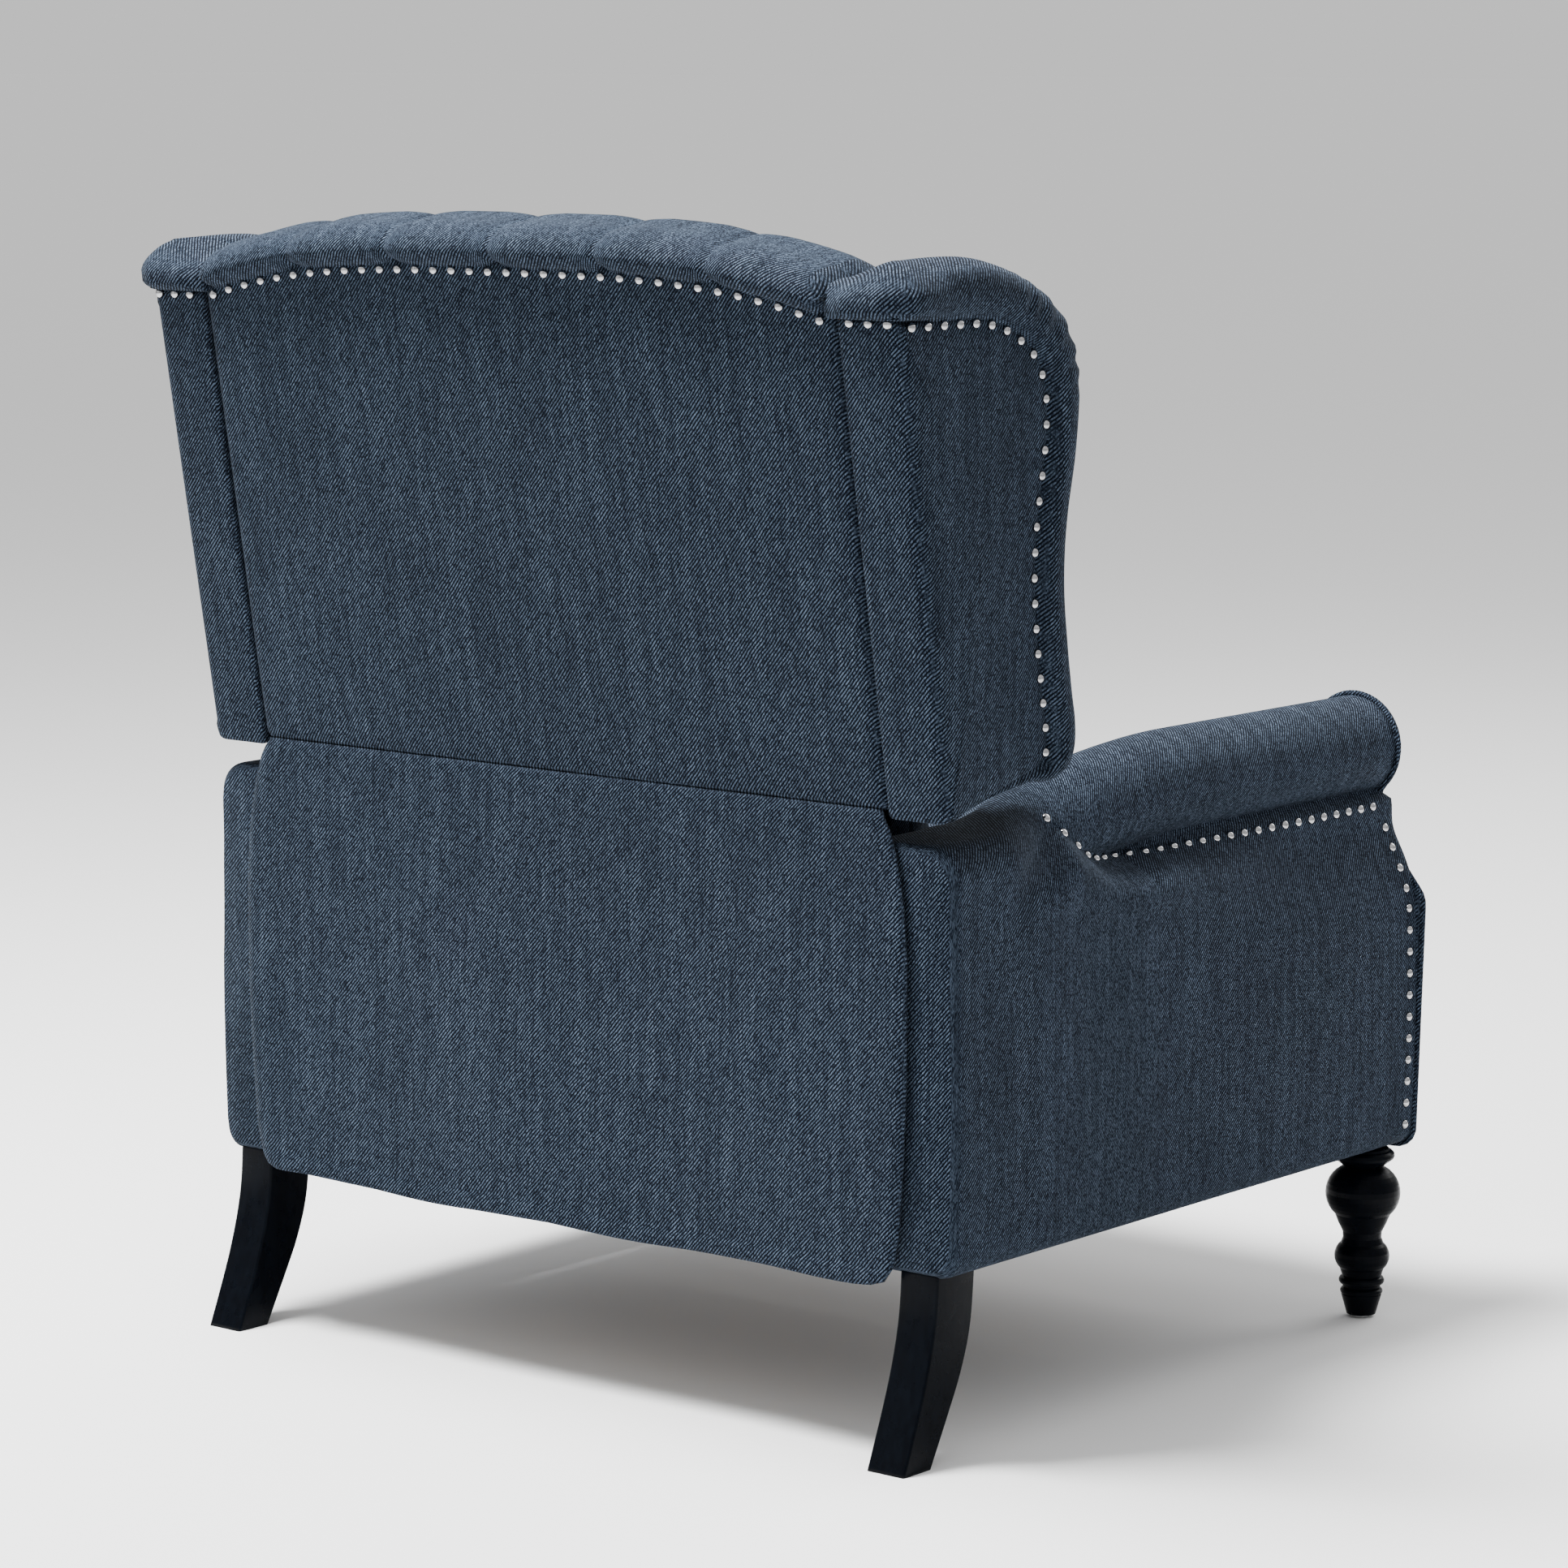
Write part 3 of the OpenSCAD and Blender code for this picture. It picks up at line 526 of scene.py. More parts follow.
def arm_ring(y):
    """Outline of the arm at one place along it, a closed ring of [x, z] from the inner bottom corner up."""
    top = ROLL_Z + ROLL_R - roll_drop(y)
    cz = top - ROLL_R
    rise = (crease_z(y) - cz) / ROLL_R
    crease = math.degrees(math.asin(clamp(rise, -0.84, 0.55)))
    inner = [(ARM_IN, ARM_BOTTOM), (ARM_IN - 1.5 * MM, 0.30), (ARM_IN - 2.5 * MM, 0.42),
             (ARM_IN - 1 * MM, cz - 0.022)]
    # over the roll and under it to the nail line, or squarely over the rear end
    round_top = arc(ROLL_X, cz, ROLL_R, 180, crease, 26)
    wall_x = ARM_OUT - 5 * MM
    block_z = top - BLOCK_ROUND
    square_top = [(ARM_IN, top - 0.03)] + arc(ARM_IN + BLOCK_ROUND, block_z, BLOCK_ROUND, 180, 90, 8)
    square_top += arc(wall_x - BLOCK_ROUND, block_z, BLOCK_ROUND, 90, 0, 10) + [(wall_x, block_z - 4 * MM)]
    fade = smooth(*ROLL_FADE, y)
    pairs = zip(resample(flat(round_top), 40), resample(flat(square_top), 40))
    crown = [p.lerp(q, fade) for p, q in pairs]
    # side panel, from the crease out to the shoulder and down
    flush = smooth(-0.28, 0.04, y)
    edge = crown[-1]
    crease_x = mix(edge.x, mix(NECK_SKIN, edge.x + 1.5 * MM, flush), smooth(0.80, 1.02, -rise))
    shoulder = SHOULDER_Z + 0.012
    low = min(crease_z(y), edge.y - 3 * MM)
    outer = [(mix(edge.x, crease_x, 0.7), mix(edge.y, low, 0.6)), (crease_x, low),
             (mix(NECK_SKIN + 2.5 * MM, ARM_OUT - 5.5 * MM, flush), mix(low, shoulder, 0.30)),
             (mix(NECK_SKIN + 17 * MM, ARM_OUT - 5 * MM, flush), mix(low, shoulder, 0.64)),
             (ARM_OUT - mix(6.5, 4.8, flush) * MM, shoulder), (ARM_OUT - mix(3.5, 4.2, flush) * MM, 0.385),
             (ARM_OUT - 2.8 * MM, 0.33), (ARM_OUT - 3 * MM, 0.26), (ARM_OUT - 5 * MM, ARM_BOTTOM + 0.022)]
    side = curve_through(flat(outer), 56)
    corner = arc(ARM_OUT - 0.024, ARM_BOTTOM + LOW_ROUND, LOW_ROUND, -12, -90, 10)
    ring = resample(flat(inner), 26)[:-1] + crown + side + flat(corner)
    ring += resample([(ARM_OUT - 0.026, ARM_BOTTOM, 0), (ARM_IN, ARM_BOTTOM, 0)], 12)[1:-1]
    return ring


ARM_CORE = (0.383, 0.36)
REAR_TURN = 10 * MM


def arm_upholstery(side, sign):
    """Side, inner pad and roll of one arm in one skin."""
    count = 130
    cx, cz = ARM_CORE
    rings = []
    for j in range(count + 1):
        y = mix(FRONT_HIGH.y - 6 * MM, ARM_REAR, j / count)
        # the rear end turns in over a small radius
        turn = max(0.0, y - (ARM_REAR - REAR_TURN)) / REAR_TURN
        pull = 5.5 * MM * (1 - math.sqrt(max(0.0, 1 - turn * turn)))
        out = []
        for p in arm_ring(y):
            x = p.x - math.copysign(min(pull, abs(p.x - cx)), p.x - cx)
            z = p.y - math.copysign(min(pull, abs(p.y - cz)), p.y - cz)
            ripple = 0.5 * MM * noise.noise(Vector((x * 9, y * 7, z * 9)))
            out.append(Vector((sign * (x + ripple), y, z)))
        rings.append(out)
    obj = loft(f"arm_upholstery_{side}", rings, TWILL, turn=-1, cap_material=TWILL_BOX)
    covered = (f"arm_side_{side}", f"arm_pad_{side}", f"arm_roll_{side}")
    dress(obj, "base", covered)


def front_outline(count=150):
    """Outline of the scroll-shaped arm front, [x, z]."""
    low = arc(ARM_OUT - 0.024, ARM_BOTTOM + LOW_ROUND, LOW_ROUND, -90, -12, 8)
    shoulder = arc(ARM_OUT - 0.020, SHOULDER_Z, 0.020, 0, 42, 7)
    neck = arc(NECK_X + 0.060, NECK_Z, 0.060, 233, 186, 9)
    scroll = arc(ROLL_X, ROLL_Z, ROLL_R, -50, 180, 34)
    inner = arc(ARM_IN + 0.012, ARM_BOTTOM + 0.012, 0.012, 180, 270, 6)
    return resample(flat(inner + low + shoulder + neck + scroll), count, closed=True)


def inset(points, distance):
    """A closed outline moved inward, with its sharp places eased."""
    n = len(points)
    area = sum(p.x * q.y - q.x * p.y for p, q in zip(points, points[1:] + points[:1]))
    turn = 1 if area > 0 else -1
    out = []
    for i in range(n):
        t = (points[(i + 2) % n] - points[i - 2]).normalized()
        out.append(points[i] + Vector((-t.y, t.x, 0)) * turn * distance)
    return out


# soft edge of the arm front, in mm: how far its outline draws in, and how far back from the front
FRONT_EDGE = ((0.0, 12.0), (0.0, 6.0), (0.8, 3.4), (2.6, 1.4), (6.0, 0.2), (9.0, -0.4), (11.0, -0.8))


def arm_front(side, sign):
    """Scroll-shaped front panel of one arm, and the piping round it, which is returned."""
    outline = front_outline()
    rings = []
    for inward, back in FRONT_EDGE:
        y = ARM_FRONT + back * MM
        rings.append([Vector((sign * p.x, y, p.y)) for p in inset(outline, inward * MM)])
    obj = loft(f"arm_front_panel_{side}", rings, TWILL_BOX)
    dress(obj, "base", (f"arm_front_{side}",))
    path = [Vector((sign * p.x, ARM_FRONT + 7.5 * MM, p.y)) for p in inset(outline, -1.5 * MM)]
    welt = tube(f"arm_piping_{side}", path, 3.1 * MM, TWILL_BOX, closed=True)
    dress(welt, "base")
    return welt


for side, sign in SIDES.items():
    arm_upholstery(side, sign)
    arm_front(side, sign)
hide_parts("arm_piping")


# ---- backrest

# spacing of the upright folds and of the buttons
FOLD_PITCH = 0.123
# half widths of the nail arch, of the crest, and of the inside back between the wings
ARCH_HALF, ROLL_HALF, INSIDE_X = 0.36, 0.367, 0.357
# how far the crest falls from its middle to its ends
CREST_FALL = 33 * MM


def arch(x):
    """1 in the middle of the back, falling to 0 at its corners."""
    return 1 - min(1.0, abs(x) / ARCH_HALF) ** 3.3


def arch_up(x):
    """Top edge of the outside back, as a length up the raked back."""
    return mix(BACK_H, ARCH_H, arch(x))


def crest_up(x):
    """Top of the crest before its folds, as a length up the raked back."""
    return (CREST_TOP - 7 * MM - CREST_FALL * (1 - arch(x)) - SEAM.z) / math.cos(RAKE)


def outside_back():
    """The flat rear panel, pulled in along its two side seams and its lower edge."""
    rows, cols = 90, 110

    def skin(x, up):
        edge = PANEL_X - abs(x)
        crown = 2.6 * MM * (1 - (x / PANEL_X) ** 4) * math.sin(math.pi * clamp(up / BACK_H, 0.0, 1.0)) ** 0.5
        seam = 4.2 * MM * hump(edge, 3.2 * MM) + 1.2 * MM * math.exp(-edge / (14 * MM))
        hem = 3.5 * MM * hump(up, 4 * MM)
        pull = 0.35 * MM * math.sin(x * 290) * math.exp(-max(arch_up(x) - up, 0) / 0.02)
        wave = 0.9 * MM * noise.noise(Vector((x * 5, up * 5, 2.0)))
        return crown - seam - hem + pull + wave

    rings = []
    for j in range(rows + 1):
        outside, inside = [], []
        for i in range(cols + 1):
            x = mix(-PANEL_X, PANEL_X, i / cols)
            up = mix(0.5 * MM, arch_up(x) + 2 * MM, j / rows)
            outside.append(on_back(x, skin(x, up), up))
            inside.append(on_back(x, -PANEL_T, up))
        rings.append(outside + inside[::-1])
    obj = loft("outside_back_cover", rings, TWILL_BOX)
    dress(obj, "backrest", ("outside_back",))


# edge of the wing's outer face from its top rear to its bottom rear: y, z, and how proud the padding stands
WING_PATH = ((0.383, 0.9895, 0.046), (0.350, 0.9895, 0.047), (0.318, 0.9895, 0.048), (0.288, 0.989, 0.048),
             (0.262, 0.985, 0.047), (0.240, 0.977, 0.048), (0.217, 0.964, 0.050), (0.202, 0.949, 0.052),
             (0.193, 0.930, 0.050), (0.189, 0.908, 0.046), (0.191, 0.870, 0.042), (0.199, 0.825, 0.040),
             (0.204, 0.785, 0.0395), (0.204, 0.745, 0.039), (0.199, 0.700, 0.039), (0.192, 0.660, 0.039),
             (0.187, 0.630, 0.040), (0.186, 0.612, 0.035), (0.193, 0.600, 0.020), (0.210, 0.594, 0.008),
             (0.245, 0.585, 0.003), (0.285, 0.574, 0.002), (0.316, 0.563, 0.001))
# section of the padding: beyond the outer face in mm, and beyond the edge as a share of how proud it stands
WING_OUTER = ((-4.0, -0.12), (1.0, -0.03), (6.5, 0.07), (10.5, 0.22), (12.0, 0.40), (10.0, 0.60),
              (4.5, 0.80), (-5.0, 0.94), (-16.0, 1.0))
WING_INNER = ((-24.0, 1.01), (-33.0, 0.99), (-48.0, 0.93), (-61.0, 0.78), (-70.0, 0.56), (-75.0, 0.30),
              (-77.5, 0.02))
WING_BEHIND = ((-24.0, 1.02), (-33.0, 1.02), (-48.0, 0.98), (-61.0, 0.90), (-68.0, 0.80), (-72.0, 0.68),
               (-74.0, 0.50))
# section over the rear strip and the corner, which bulges more and lower down
CORNER_OUTER = ((-4.0, -0.03), (4.0, 0.00), (11.0, 0.06), (15.5, 0.17), (16.5, 0.33), (13.5, 0.52),
                (6.0, 0.71), (-4.0, 0.88), (-16.0, 1.0))
CORNER_R = 16 * MM


def wing_path(count):
    """Points (y, z, proud) along the edge of the wing, and outward normals."""
    pts = curve_through(WING_PATH, count)
    out = []
    for i, p in enumerate(pts):
        t = pts[min(i + 1, count - 1)] - pts[max(i - 1, 0)]
        out.append((p, Vector((t.y, -t.x)).normalized()))
    return out


def lerp_section(a, b, t):
    return [(mix(p[0], q[0], t), mix(p[1], q[1], t)) for p, q in zip(a, b)]


# how far the rear skin and the side skin lap over each other along the mitre on top of the wing
MITRE_LAP = 7 * MM
# the mitre ends this far in from the corner, where the crest hides it
MITRE_END = 77.5 * MM
# the edge runs along the top of the wing above this height
WING_TOP_ABOVE = 0.9
# points over the outside, over the inside, and down the inner face of the padding
OUTER_COUNT, INNER_COUNT, FACE_COUNT = 26, 22, 22
# height and spacing of the gathers round the top corner
GATHER = 1.7 * MM
GATHER_PITCH = 16.5 * MM


def behind_share(distance):
    """Height share of the side skin behind the wing, that distance in from the outer face."""
    share = 1.0
    for (x0, s0), (x1, s1) in zip(((-16.0, 1.0),) + WING_BEHIND, WING_BEHIND):
        share = mix(share, s1, clamp((distance / MM + x0) / (x0 - x1), 0.0, 1.0))
    return share


def hidden_end(ring):
    """Points that go down inside the padding, so that every ring has the same length."""
    return [ring[-1] - Vector((0, 0, 1.2 * MM * k)) for k in range(1, FACE_COUNT + 2)]


def strip_rings(sign, corner_y, base_z):
    """Rings over the rear strip and round the corner, up to the mitre."""
    rear_y = corner_y + CORNER_R
    centre_x = WING_X - CORNER_R
    places = []
    for i in range(22):
        t = i / 21
        x = mix(PANEL_X - 6 * MM, centre_x, t)
        places.append((x, rear_y, 0.0, mix(0.032, 0.045, smooth(0.0, 0.9, t)), min(1.0, 0.3 + 1.6 * t)))
    for i in range(1, 14):
        a = math.radians(90 * i / 14)
        places.append((centre_x + CORNER_R * math.sin(a), corner_y + CORNER_R * math.cos(a), a, 0.0455, 1.0))
    section = curve_through(flat(CORNER_OUTER), OUTER_COUNT)
    rings = []
    for x, y, turned, proud, bulge in places:
        nx, ny = math.sin(turned), math.cos(turned)
        pucker = 4.5 * MM * hump(turned - 0.6, 0.30)
        ring = []
        for q in section:
            d = q.x * MM * (bulge if q.x > 0 else 1.0) - pucker * max(0.0, 1 - q.y / 0.9) * (q.y > 0.02)
            ring.append(Vector((sign * (x + nx * d), y + ny * d, base_z + q.y * proud)))
        ridge = ring[-1]
        end_d = CORNER_R if turned else max(WING_X - x, CORNER_R)
        end_z = base_z + 0.047 * behind_share(end_d) - 0.4 * MITRE_LAP
        end = Vector((ridge.x, rear_y - end_d - MITRE_LAP, end_z))
        for k in range(1, INNER_COUNT + 1):
            t = k / INNER_COUNT
            q = ridge.lerp(end, t)
            q.z = mix(ridge.z, end.z, smooth(0.0, 1.0, t)) + 2 * MM * math.sin(math.pi * t) * (end_d > 0.03)
            ring.append(q)
        rings.append(ring + hidden_end(ring))
    return rings


def side_ring(sign, p, n, run, mitre):
    """Ring over the wing's edge at p, with its normal n, after a run along the edge."""
    on_top = p.y > WING_TOP_ABOVE
    outer = lerp_section(WING_OUTER, CORNER_OUTER, smooth(0.325, 0.38, p.x) * on_top)
    inner = lerp_section(WING_INNER, WING_BEHIND, smooth(0.28, 0.335, p.x) * on_top)
    turning = smooth(0.905, 0.935, p.y) * (1 - smooth(0.975, 0.986, p.y)) * (p.x < 0.27)
    wave = math.sin(run * 2 * math.pi / GATHER_PITCH + 0.6 * math.sin(run * 90))
    swollen = smooth(0.0, 0.032, p.z)
    tuck = smooth(0.215, 0.29, p.x) * (not on_top)
    section = curve_through(flat(outer), OUTER_COUNT)
    section += curve_through(flat([outer[-1]] + inner), INNER_COUNT + 1)[1:]
    ring = []
    for q in section:
        share = q.y
        fold = turning * GATHER * wave * max(0.0, math.sin(math.pi * clamp(share, 0, 0.92))) ** 0.7
        swell = 1.1 * MM * noise.noise(Vector((run * 14, share * 2, 5.0 * sign))) * smooth(0.0, 0.03, run)
        d = share * (p.z if share > 0 else 0.05) + (fold + swell) * (share > 0.05) - 1.0 * MM * tuck
        beyond = q.x * MM * (swollen if q.x > 0 else 1.0) - 5 * MM * tuck * (q.x > -30)
        side_x = WING_X + beyond + (0.6 * fold if q.x > 0 else 0.0)
        if on_top and beyond < -mitre:
            lap = min(-mitre - beyond, MITRE_LAP)
            side_x = WING_X - mitre - lap
            d -= 0.5 * lap
        ring.append(Vector((sign * side_x, p.x + n.x * d, p.y + n.y * d)))
    if on_top and mitre < MITRE_END:
        return ring + hidden_end(ring)
    # the inner face of the wing runs back to the inside back
    last = ring[-1]
    rear = on_back(last.x, -55 * MM, mix(BACK_H + 0.006, 0.0, min(1.0, run / 0.70)))
    plump = 9 * MM * smooth(0.10, 0.16, run) * (1 - smooth(0.52, 0.62, run))
    for k in range(1, FACE_COUNT + 1):
        t = k / FACE_COUNT
        q = last.lerp(rear, t)
        q.x -= sign * plump * math.sin(math.pi * t) ** 0.8
        ring.append(q)
    ring.append(Vector((sign * (WING_X - 14 * MM), p.x - n.x * 7 * MM, p.y - n.y * 7 * MM)))
    return ring


def wing_padding(side, sign):
    """Padding that starts on the rear strip, turns the corner, and runs over the wing and down its front.

    On top of the wing the rear part and the side part meet in a mitre that runs forward from the corner.
    """
    path = wing_path(230)
    last = path[0][0]
    corner_y = last.x
    rings = strip_rings(sign, corner_y, last.y)
    run = 0.0
    for p, n in path:
        run += math.hypot(p.x - last.x, p.y - last.y)
        last = p
        rings.append(side_ring(sign, p, n, run, corner_y + CORNER_R - p.x))
    obj = loft(f"wing_padding_{side}", rings, TWILL_BOX)
    dress(obj, "backrest", (f"wing_pad_{side}",))


def soften(points, times):
    """A closed outline with its corners eased."""
    pts = list(points)
    n = len(pts)
    for _ in range(times):
        pts = [(pts[i - 1] + 2 * pts[i] + pts[(i + 1) % n]) / 4 for i in range(n)]
    return pts


def wing_outline(count=360):
    rear = [(on_back(0, 0, up).y, on_back(0, 0, up).z) for up in (-0.008, 0.14, 0.28, BACK_H - 2 * MM)]
    front = [(p.x + 0.5 * MM, p.y) for p, n in wing_path(80)[3:-2]]
    return soften(resample(flat(rear + front), count, closed=True), 5)


# rounding of the cover, in mm, from its inner edge outward: sideways place, and how far its outline draws in
COVER_STEPS = ((0.0, 5.0), (0.3, 2.4), (2.0, 0.6), (6.0, 0.0))
COVER_EDGE = ((-14.0, 0.0), (-9.6, 0.7), (-5.4, 2.6), (-2.4, 5.4), (-0.7, 9.0), (0.0, 13.5))
# slight crown of the outer face: share of the way to its middle, and height in mm
COVER_CROWN = ((0.12, 0.8), (0.3, 1.5), (0.5, 2.0), (0.75, 2.3), (0.92, 2.4))


def wing_cover(side, sign):
    """Flat outer face of the wing and the rear strip, in one skin with a soft corner."""
    outline = wing_outline()
    centre = sum(outline, Vector()) / len(outline)
    rings = []
    inner_x = PANEL_X + 2.2 * MM
    for x, inward in COVER_STEPS:
        side_x = sign * (inner_x + x * MM)
        rings.append([Vector((side_x, p.x, p.y)) for p in inset(outline, inward * MM)])
    for x, inward in COVER_EDGE:
        ring = []
        for p, q in zip(outline, inset(outline, inward * MM)):
            # only the rear corner is well rounded, the rest lies under the padding or turns in sharply
            rear = smooth(-30 * MM, -6 * MM, p.x - on_back(0, 0, (p.y - SEAM.z) / math.cos(RAKE)).y)
            r = p.lerp(q, mix(0.35, 1.0, rear))
            ring.append(Vector((sign * (WING_X + x * MM), r.x, r.y)))
        rings.append(ring)
    face = [Vector((0, p.y, p.z)) for p in rings[-1]]
    middle = Vector((0, centre.x, centre.y))
    for t, rise in COVER_CROWN:
        rings.append([q.lerp(middle, t) + Vector((sign * (WING_X + rise * MM), 0, 0)) for q in face])
    obj = loft(f"wing_cover_{side}", rings, TWILL_BOX)
    dress(obj, "backrest", (f"wing_cover_{side}",))


# rows of buttons down the inside back from its crest, alternately on the folds and between them
ROW_DROP = (0.080, 0.162, 0.244, 0.326)
BUTTONS = []
for row, drop in enumerate(ROW_DROP):
    first, half = (-3, 0.5) if row % 2 else (-2, 0.0)
    BUTTONS.append([((k + half) * FOLD_PITCH, drop) for k in range(first, 3)])
# creases from button to button, and upright folds from the top row over the crest
CREASES = [((k * FOLD_PITCH, ROW_DROP[0]), (k * FOLD_PITCH, -0.2)) for k in range(-3, 4)]
for upper, lower in zip(BUTTONS, BUTTONS[1:]):
    CREASES += [(a, b) for a in upper for b in lower if abs(a[0] - b[0]) < 0.6 * FOLD_PITCH]
# depths of the tufting
BUTTON_PIT = 11 * MM
TAIL_DEPTH = 7 * MM
LUMBAR = 7 * MM
CREST_FULL, BACK_FULL = 3.2 * MM, 9 * MM
CREST_CREASE, BACK_CREASE = 4.5 * MM, 10 * MM


def to_segment(p, a, b):
    """Distance from a point to a segment."""
    dx, dy = b[0] - a[0], b[1] - a[1]
    t = clamp(((p[0] - a[0]) * dx + (p[1] - a[1]) * dy) / (dx * dx + dy * dy), 0.0, 1.0)
    return math.hypot(p[0] - a[0] - t * dx, p[1] - a[1] - t * dy)


def tufting(x, down):
    """How far the tufted skin stands from its plain profile, at a length down the front from the crest."""
    final = ROW_DROP[-1]
    crease = min(to_segment((x, down), a, b) for a, b in CREASES)
    button = min(math.hypot(x - bx, down - bd) for row in BUTTONS for bx, bd in row)
    on_front = smooth(-0.015, 0.055, down)
    full = mix(CREST_FULL, BACK_FULL, on_front)
    plump = full * (min(crease / 0.034, 1.0) ** 0.7 - 0.35 * (1 - on_front))
    diamond = plump - full * hump(crease, mix(CREST_CREASE, BACK_CREASE, on_front), 1.1)
    diamond *= 1 - smooth(final, final + 0.05, down)
    # pleats that run on below the last row, and a plump lumbar part under them
    between = abs(abs(x) / FOLD_PITCH - (round(abs(x) / FOLD_PITCH - 0.5) + 0.5)) * FOLD_PITCH
    tail = TAIL_DEPTH * hump(between, 9 * MM, 1.2) * smooth(final - 0.002, final + 0.006, down)
    tail *= 1 - smooth(final + 0.02, final + 0.15, down)
    lumbar = LUMBAR * smooth(final + 0.02, final + 0.10, down)
    return diamond - BUTTON_PIT * hump(button, 15 * MM) - tail + lumbar


def crest_profile(x):
    """Plain profile of (out, up) pairs, from the nail arch over the crest and down the inside back."""
    a, top = arch_up(x), crest_up(x)
    rise = top - a
    rear = [(-0.004, a - 0.008), (0.0015, a + 0.0005), (0.0085, a + 0.004), (0.0145, a + 0.011),
            (0.0160, a + 0.4 * rise), (0.0095, a + 0.68 * rise), (-0.008, a + 0.89 * rise)]
    crest = [(-0.036, top - 0.004), (-0.062, top - 0.005)]
    front = [(-0.090, top - 0.020), (-0.108, top - 0.048), (-0.116, top - 0.085), (-0.122, top - 0.14),
             (-0.129, 0.27), (-0.139, 0.16), (-0.150, 0.05), (-0.152, -0.03), (-0.149, -0.075),
             (-0.140, -0.098), (-0.118, -0.108)]
    return rear + crest + front


# back face of the inside back's pad, as (out, up) pairs after its two lowest places
PAD_BACK = ((-0.050, 0.10), (-0.050, 0.30), (-0.020, 0.40))


# between these heights the inside back narrows to pass between the arms
NARROW = (0.600, 0.640)
ARM_GAP = ARM_IN - 4.5 * MM


def inside_back():
    """The tufted crest and inside back in one skin. It is narrow where it passes between the arms."""
    cols, rows = 190, 200
    rings = []
    for i in range(cols + 1):
        u = mix(-1, 1, i / cols)
        x = ROLL_HALF * u
        fine = curve_through(flat(crest_profile(x)), rows)
        length = [0.0]
        for p, q in zip(fine, fine[1:]):
            length.append(length[-1] + (q - p).length)
        top_at = max(range(rows), key=lambda k: on_back(0, fine[k].x, fine[k].y).z)
        zero = length[top_at] + 0.035
        ring = []
        for k, p in enumerate(fine):
            ahead, behind = fine[min(k + 1, rows - 1)], fine[max(k - 1, 0)]
            t = (ahead - behind).normalized()
            n = Vector((t.y, -t.x, 0))
            down = length[k] - zero
            h = tufting(x, down) * smooth(0.0, 0.012, length[k])
            h *= 1 - smooth(length[-1] - 0.05, length[-1], length[k])
            # the skin turns in beside the wings, and over the ends of the crest
            edge = max(0.0, abs(x) - (INSIDE_X - 0.030)) / 0.035
            on_front = smooth(0.02, 0.08, down)
            h -= 16 * MM * edge ** 2 * on_front
            corner = max(0.0, abs(x) - (ROLL_HALF - 16 * MM)) / (16 * MM)
            h -= 10 * MM * corner ** 2 * (1 - on_front)
            world = on_back(x, p.x, p.y)
            narrow = 1 - smooth(*NARROW, world.z)
            squeezed = u * mix(ROLL_HALF - 3 * MM * on_front, ARM_GAP, narrow)
            round_off = narrow * 26 * MM * max(0.0, (abs(u) - 0.88) / 0.12) ** 2.2
            out = p.x + n.x * h + round_off
            ring.append(on_back(squeezed, out, p.y + n.y * h))
        end = fine[-1]
        for back, up in ((-0.075, end.y - 0.002), (-0.052, end.y + 0.010)) + PAD_BACK:
            narrow = 1 - smooth(*NARROW, on_back(x, back, up).z)
            ring.append(on_back(u * mix(ROLL_HALF, ARM_GAP, narrow), back, up))
        rings.append(ring)
    obj = loft("tufted_inside_back", rings, TWILL, cap_material=TWILL_BOX, cap_rings=4)
    dress(obj, "backrest", ("inside_back_pad", "top_roll"))
    return obj


# radius and height in mm, from the foot of a button to its top
BUTTON_SECTION = ((10.5, -2.0), (11.0, 0.5), (10.4, 2.8), (8.4, 4.6), (5.2, 5.7), (2.0, 6.1))


def tuft_buttons(skin):
    """Cloth-covered buttons that sit in the pits of the tufting."""
    places = []
    tree = surface_tree(skin)
    for row in BUTTONS:
        for bx, drop in row:
            guess = on_back(bx, -0.135, crest_up(bx) - drop - 0.055)
            places.append(tree.find_nearest(guess)[:2])
    obj = domes("tuft_buttons", places, [(r * MM, h * MM) for r, h in BUTTON_SECTION], TWILL_BOX, 20)
    dress(obj, "backrest")


outside_back()
for side, sign in SIDES.items():
    wing_cover(side, sign)
    wing_padding(side, sign)
inside = inside_back()
tuft_buttons(inside)


# ---- rear flap

FLAP_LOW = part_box("rear_flap_lower")[0]
FLAP_T = 1.8 * MM
FLAP_HALF = 0.395
HEM = 16 * MM
# heights, and half the flap's width there
FLAP_EDGE = ((0.152, 0.352), (0.158, 0.372), (0.172, 0.382), (0.20, 0.388), (0.26, 0.392), (0.33, FLAP_HALF),
             (0.44, FLAP_HALF), (0.49, 0.391), (0.527, 0.384), (0.551, 0.376), (0.568, 0.366))


def flap_half(z):
    for (z0, w0), (z1, w1) in zip(FLAP_EDGE, FLAP_EDGE[1:]):
        if z <= z1:
            return mix(w0, w1, clamp((z - z0) / (z1 - z0), 0, 1))
    return FLAP_EDGE[-1][1]


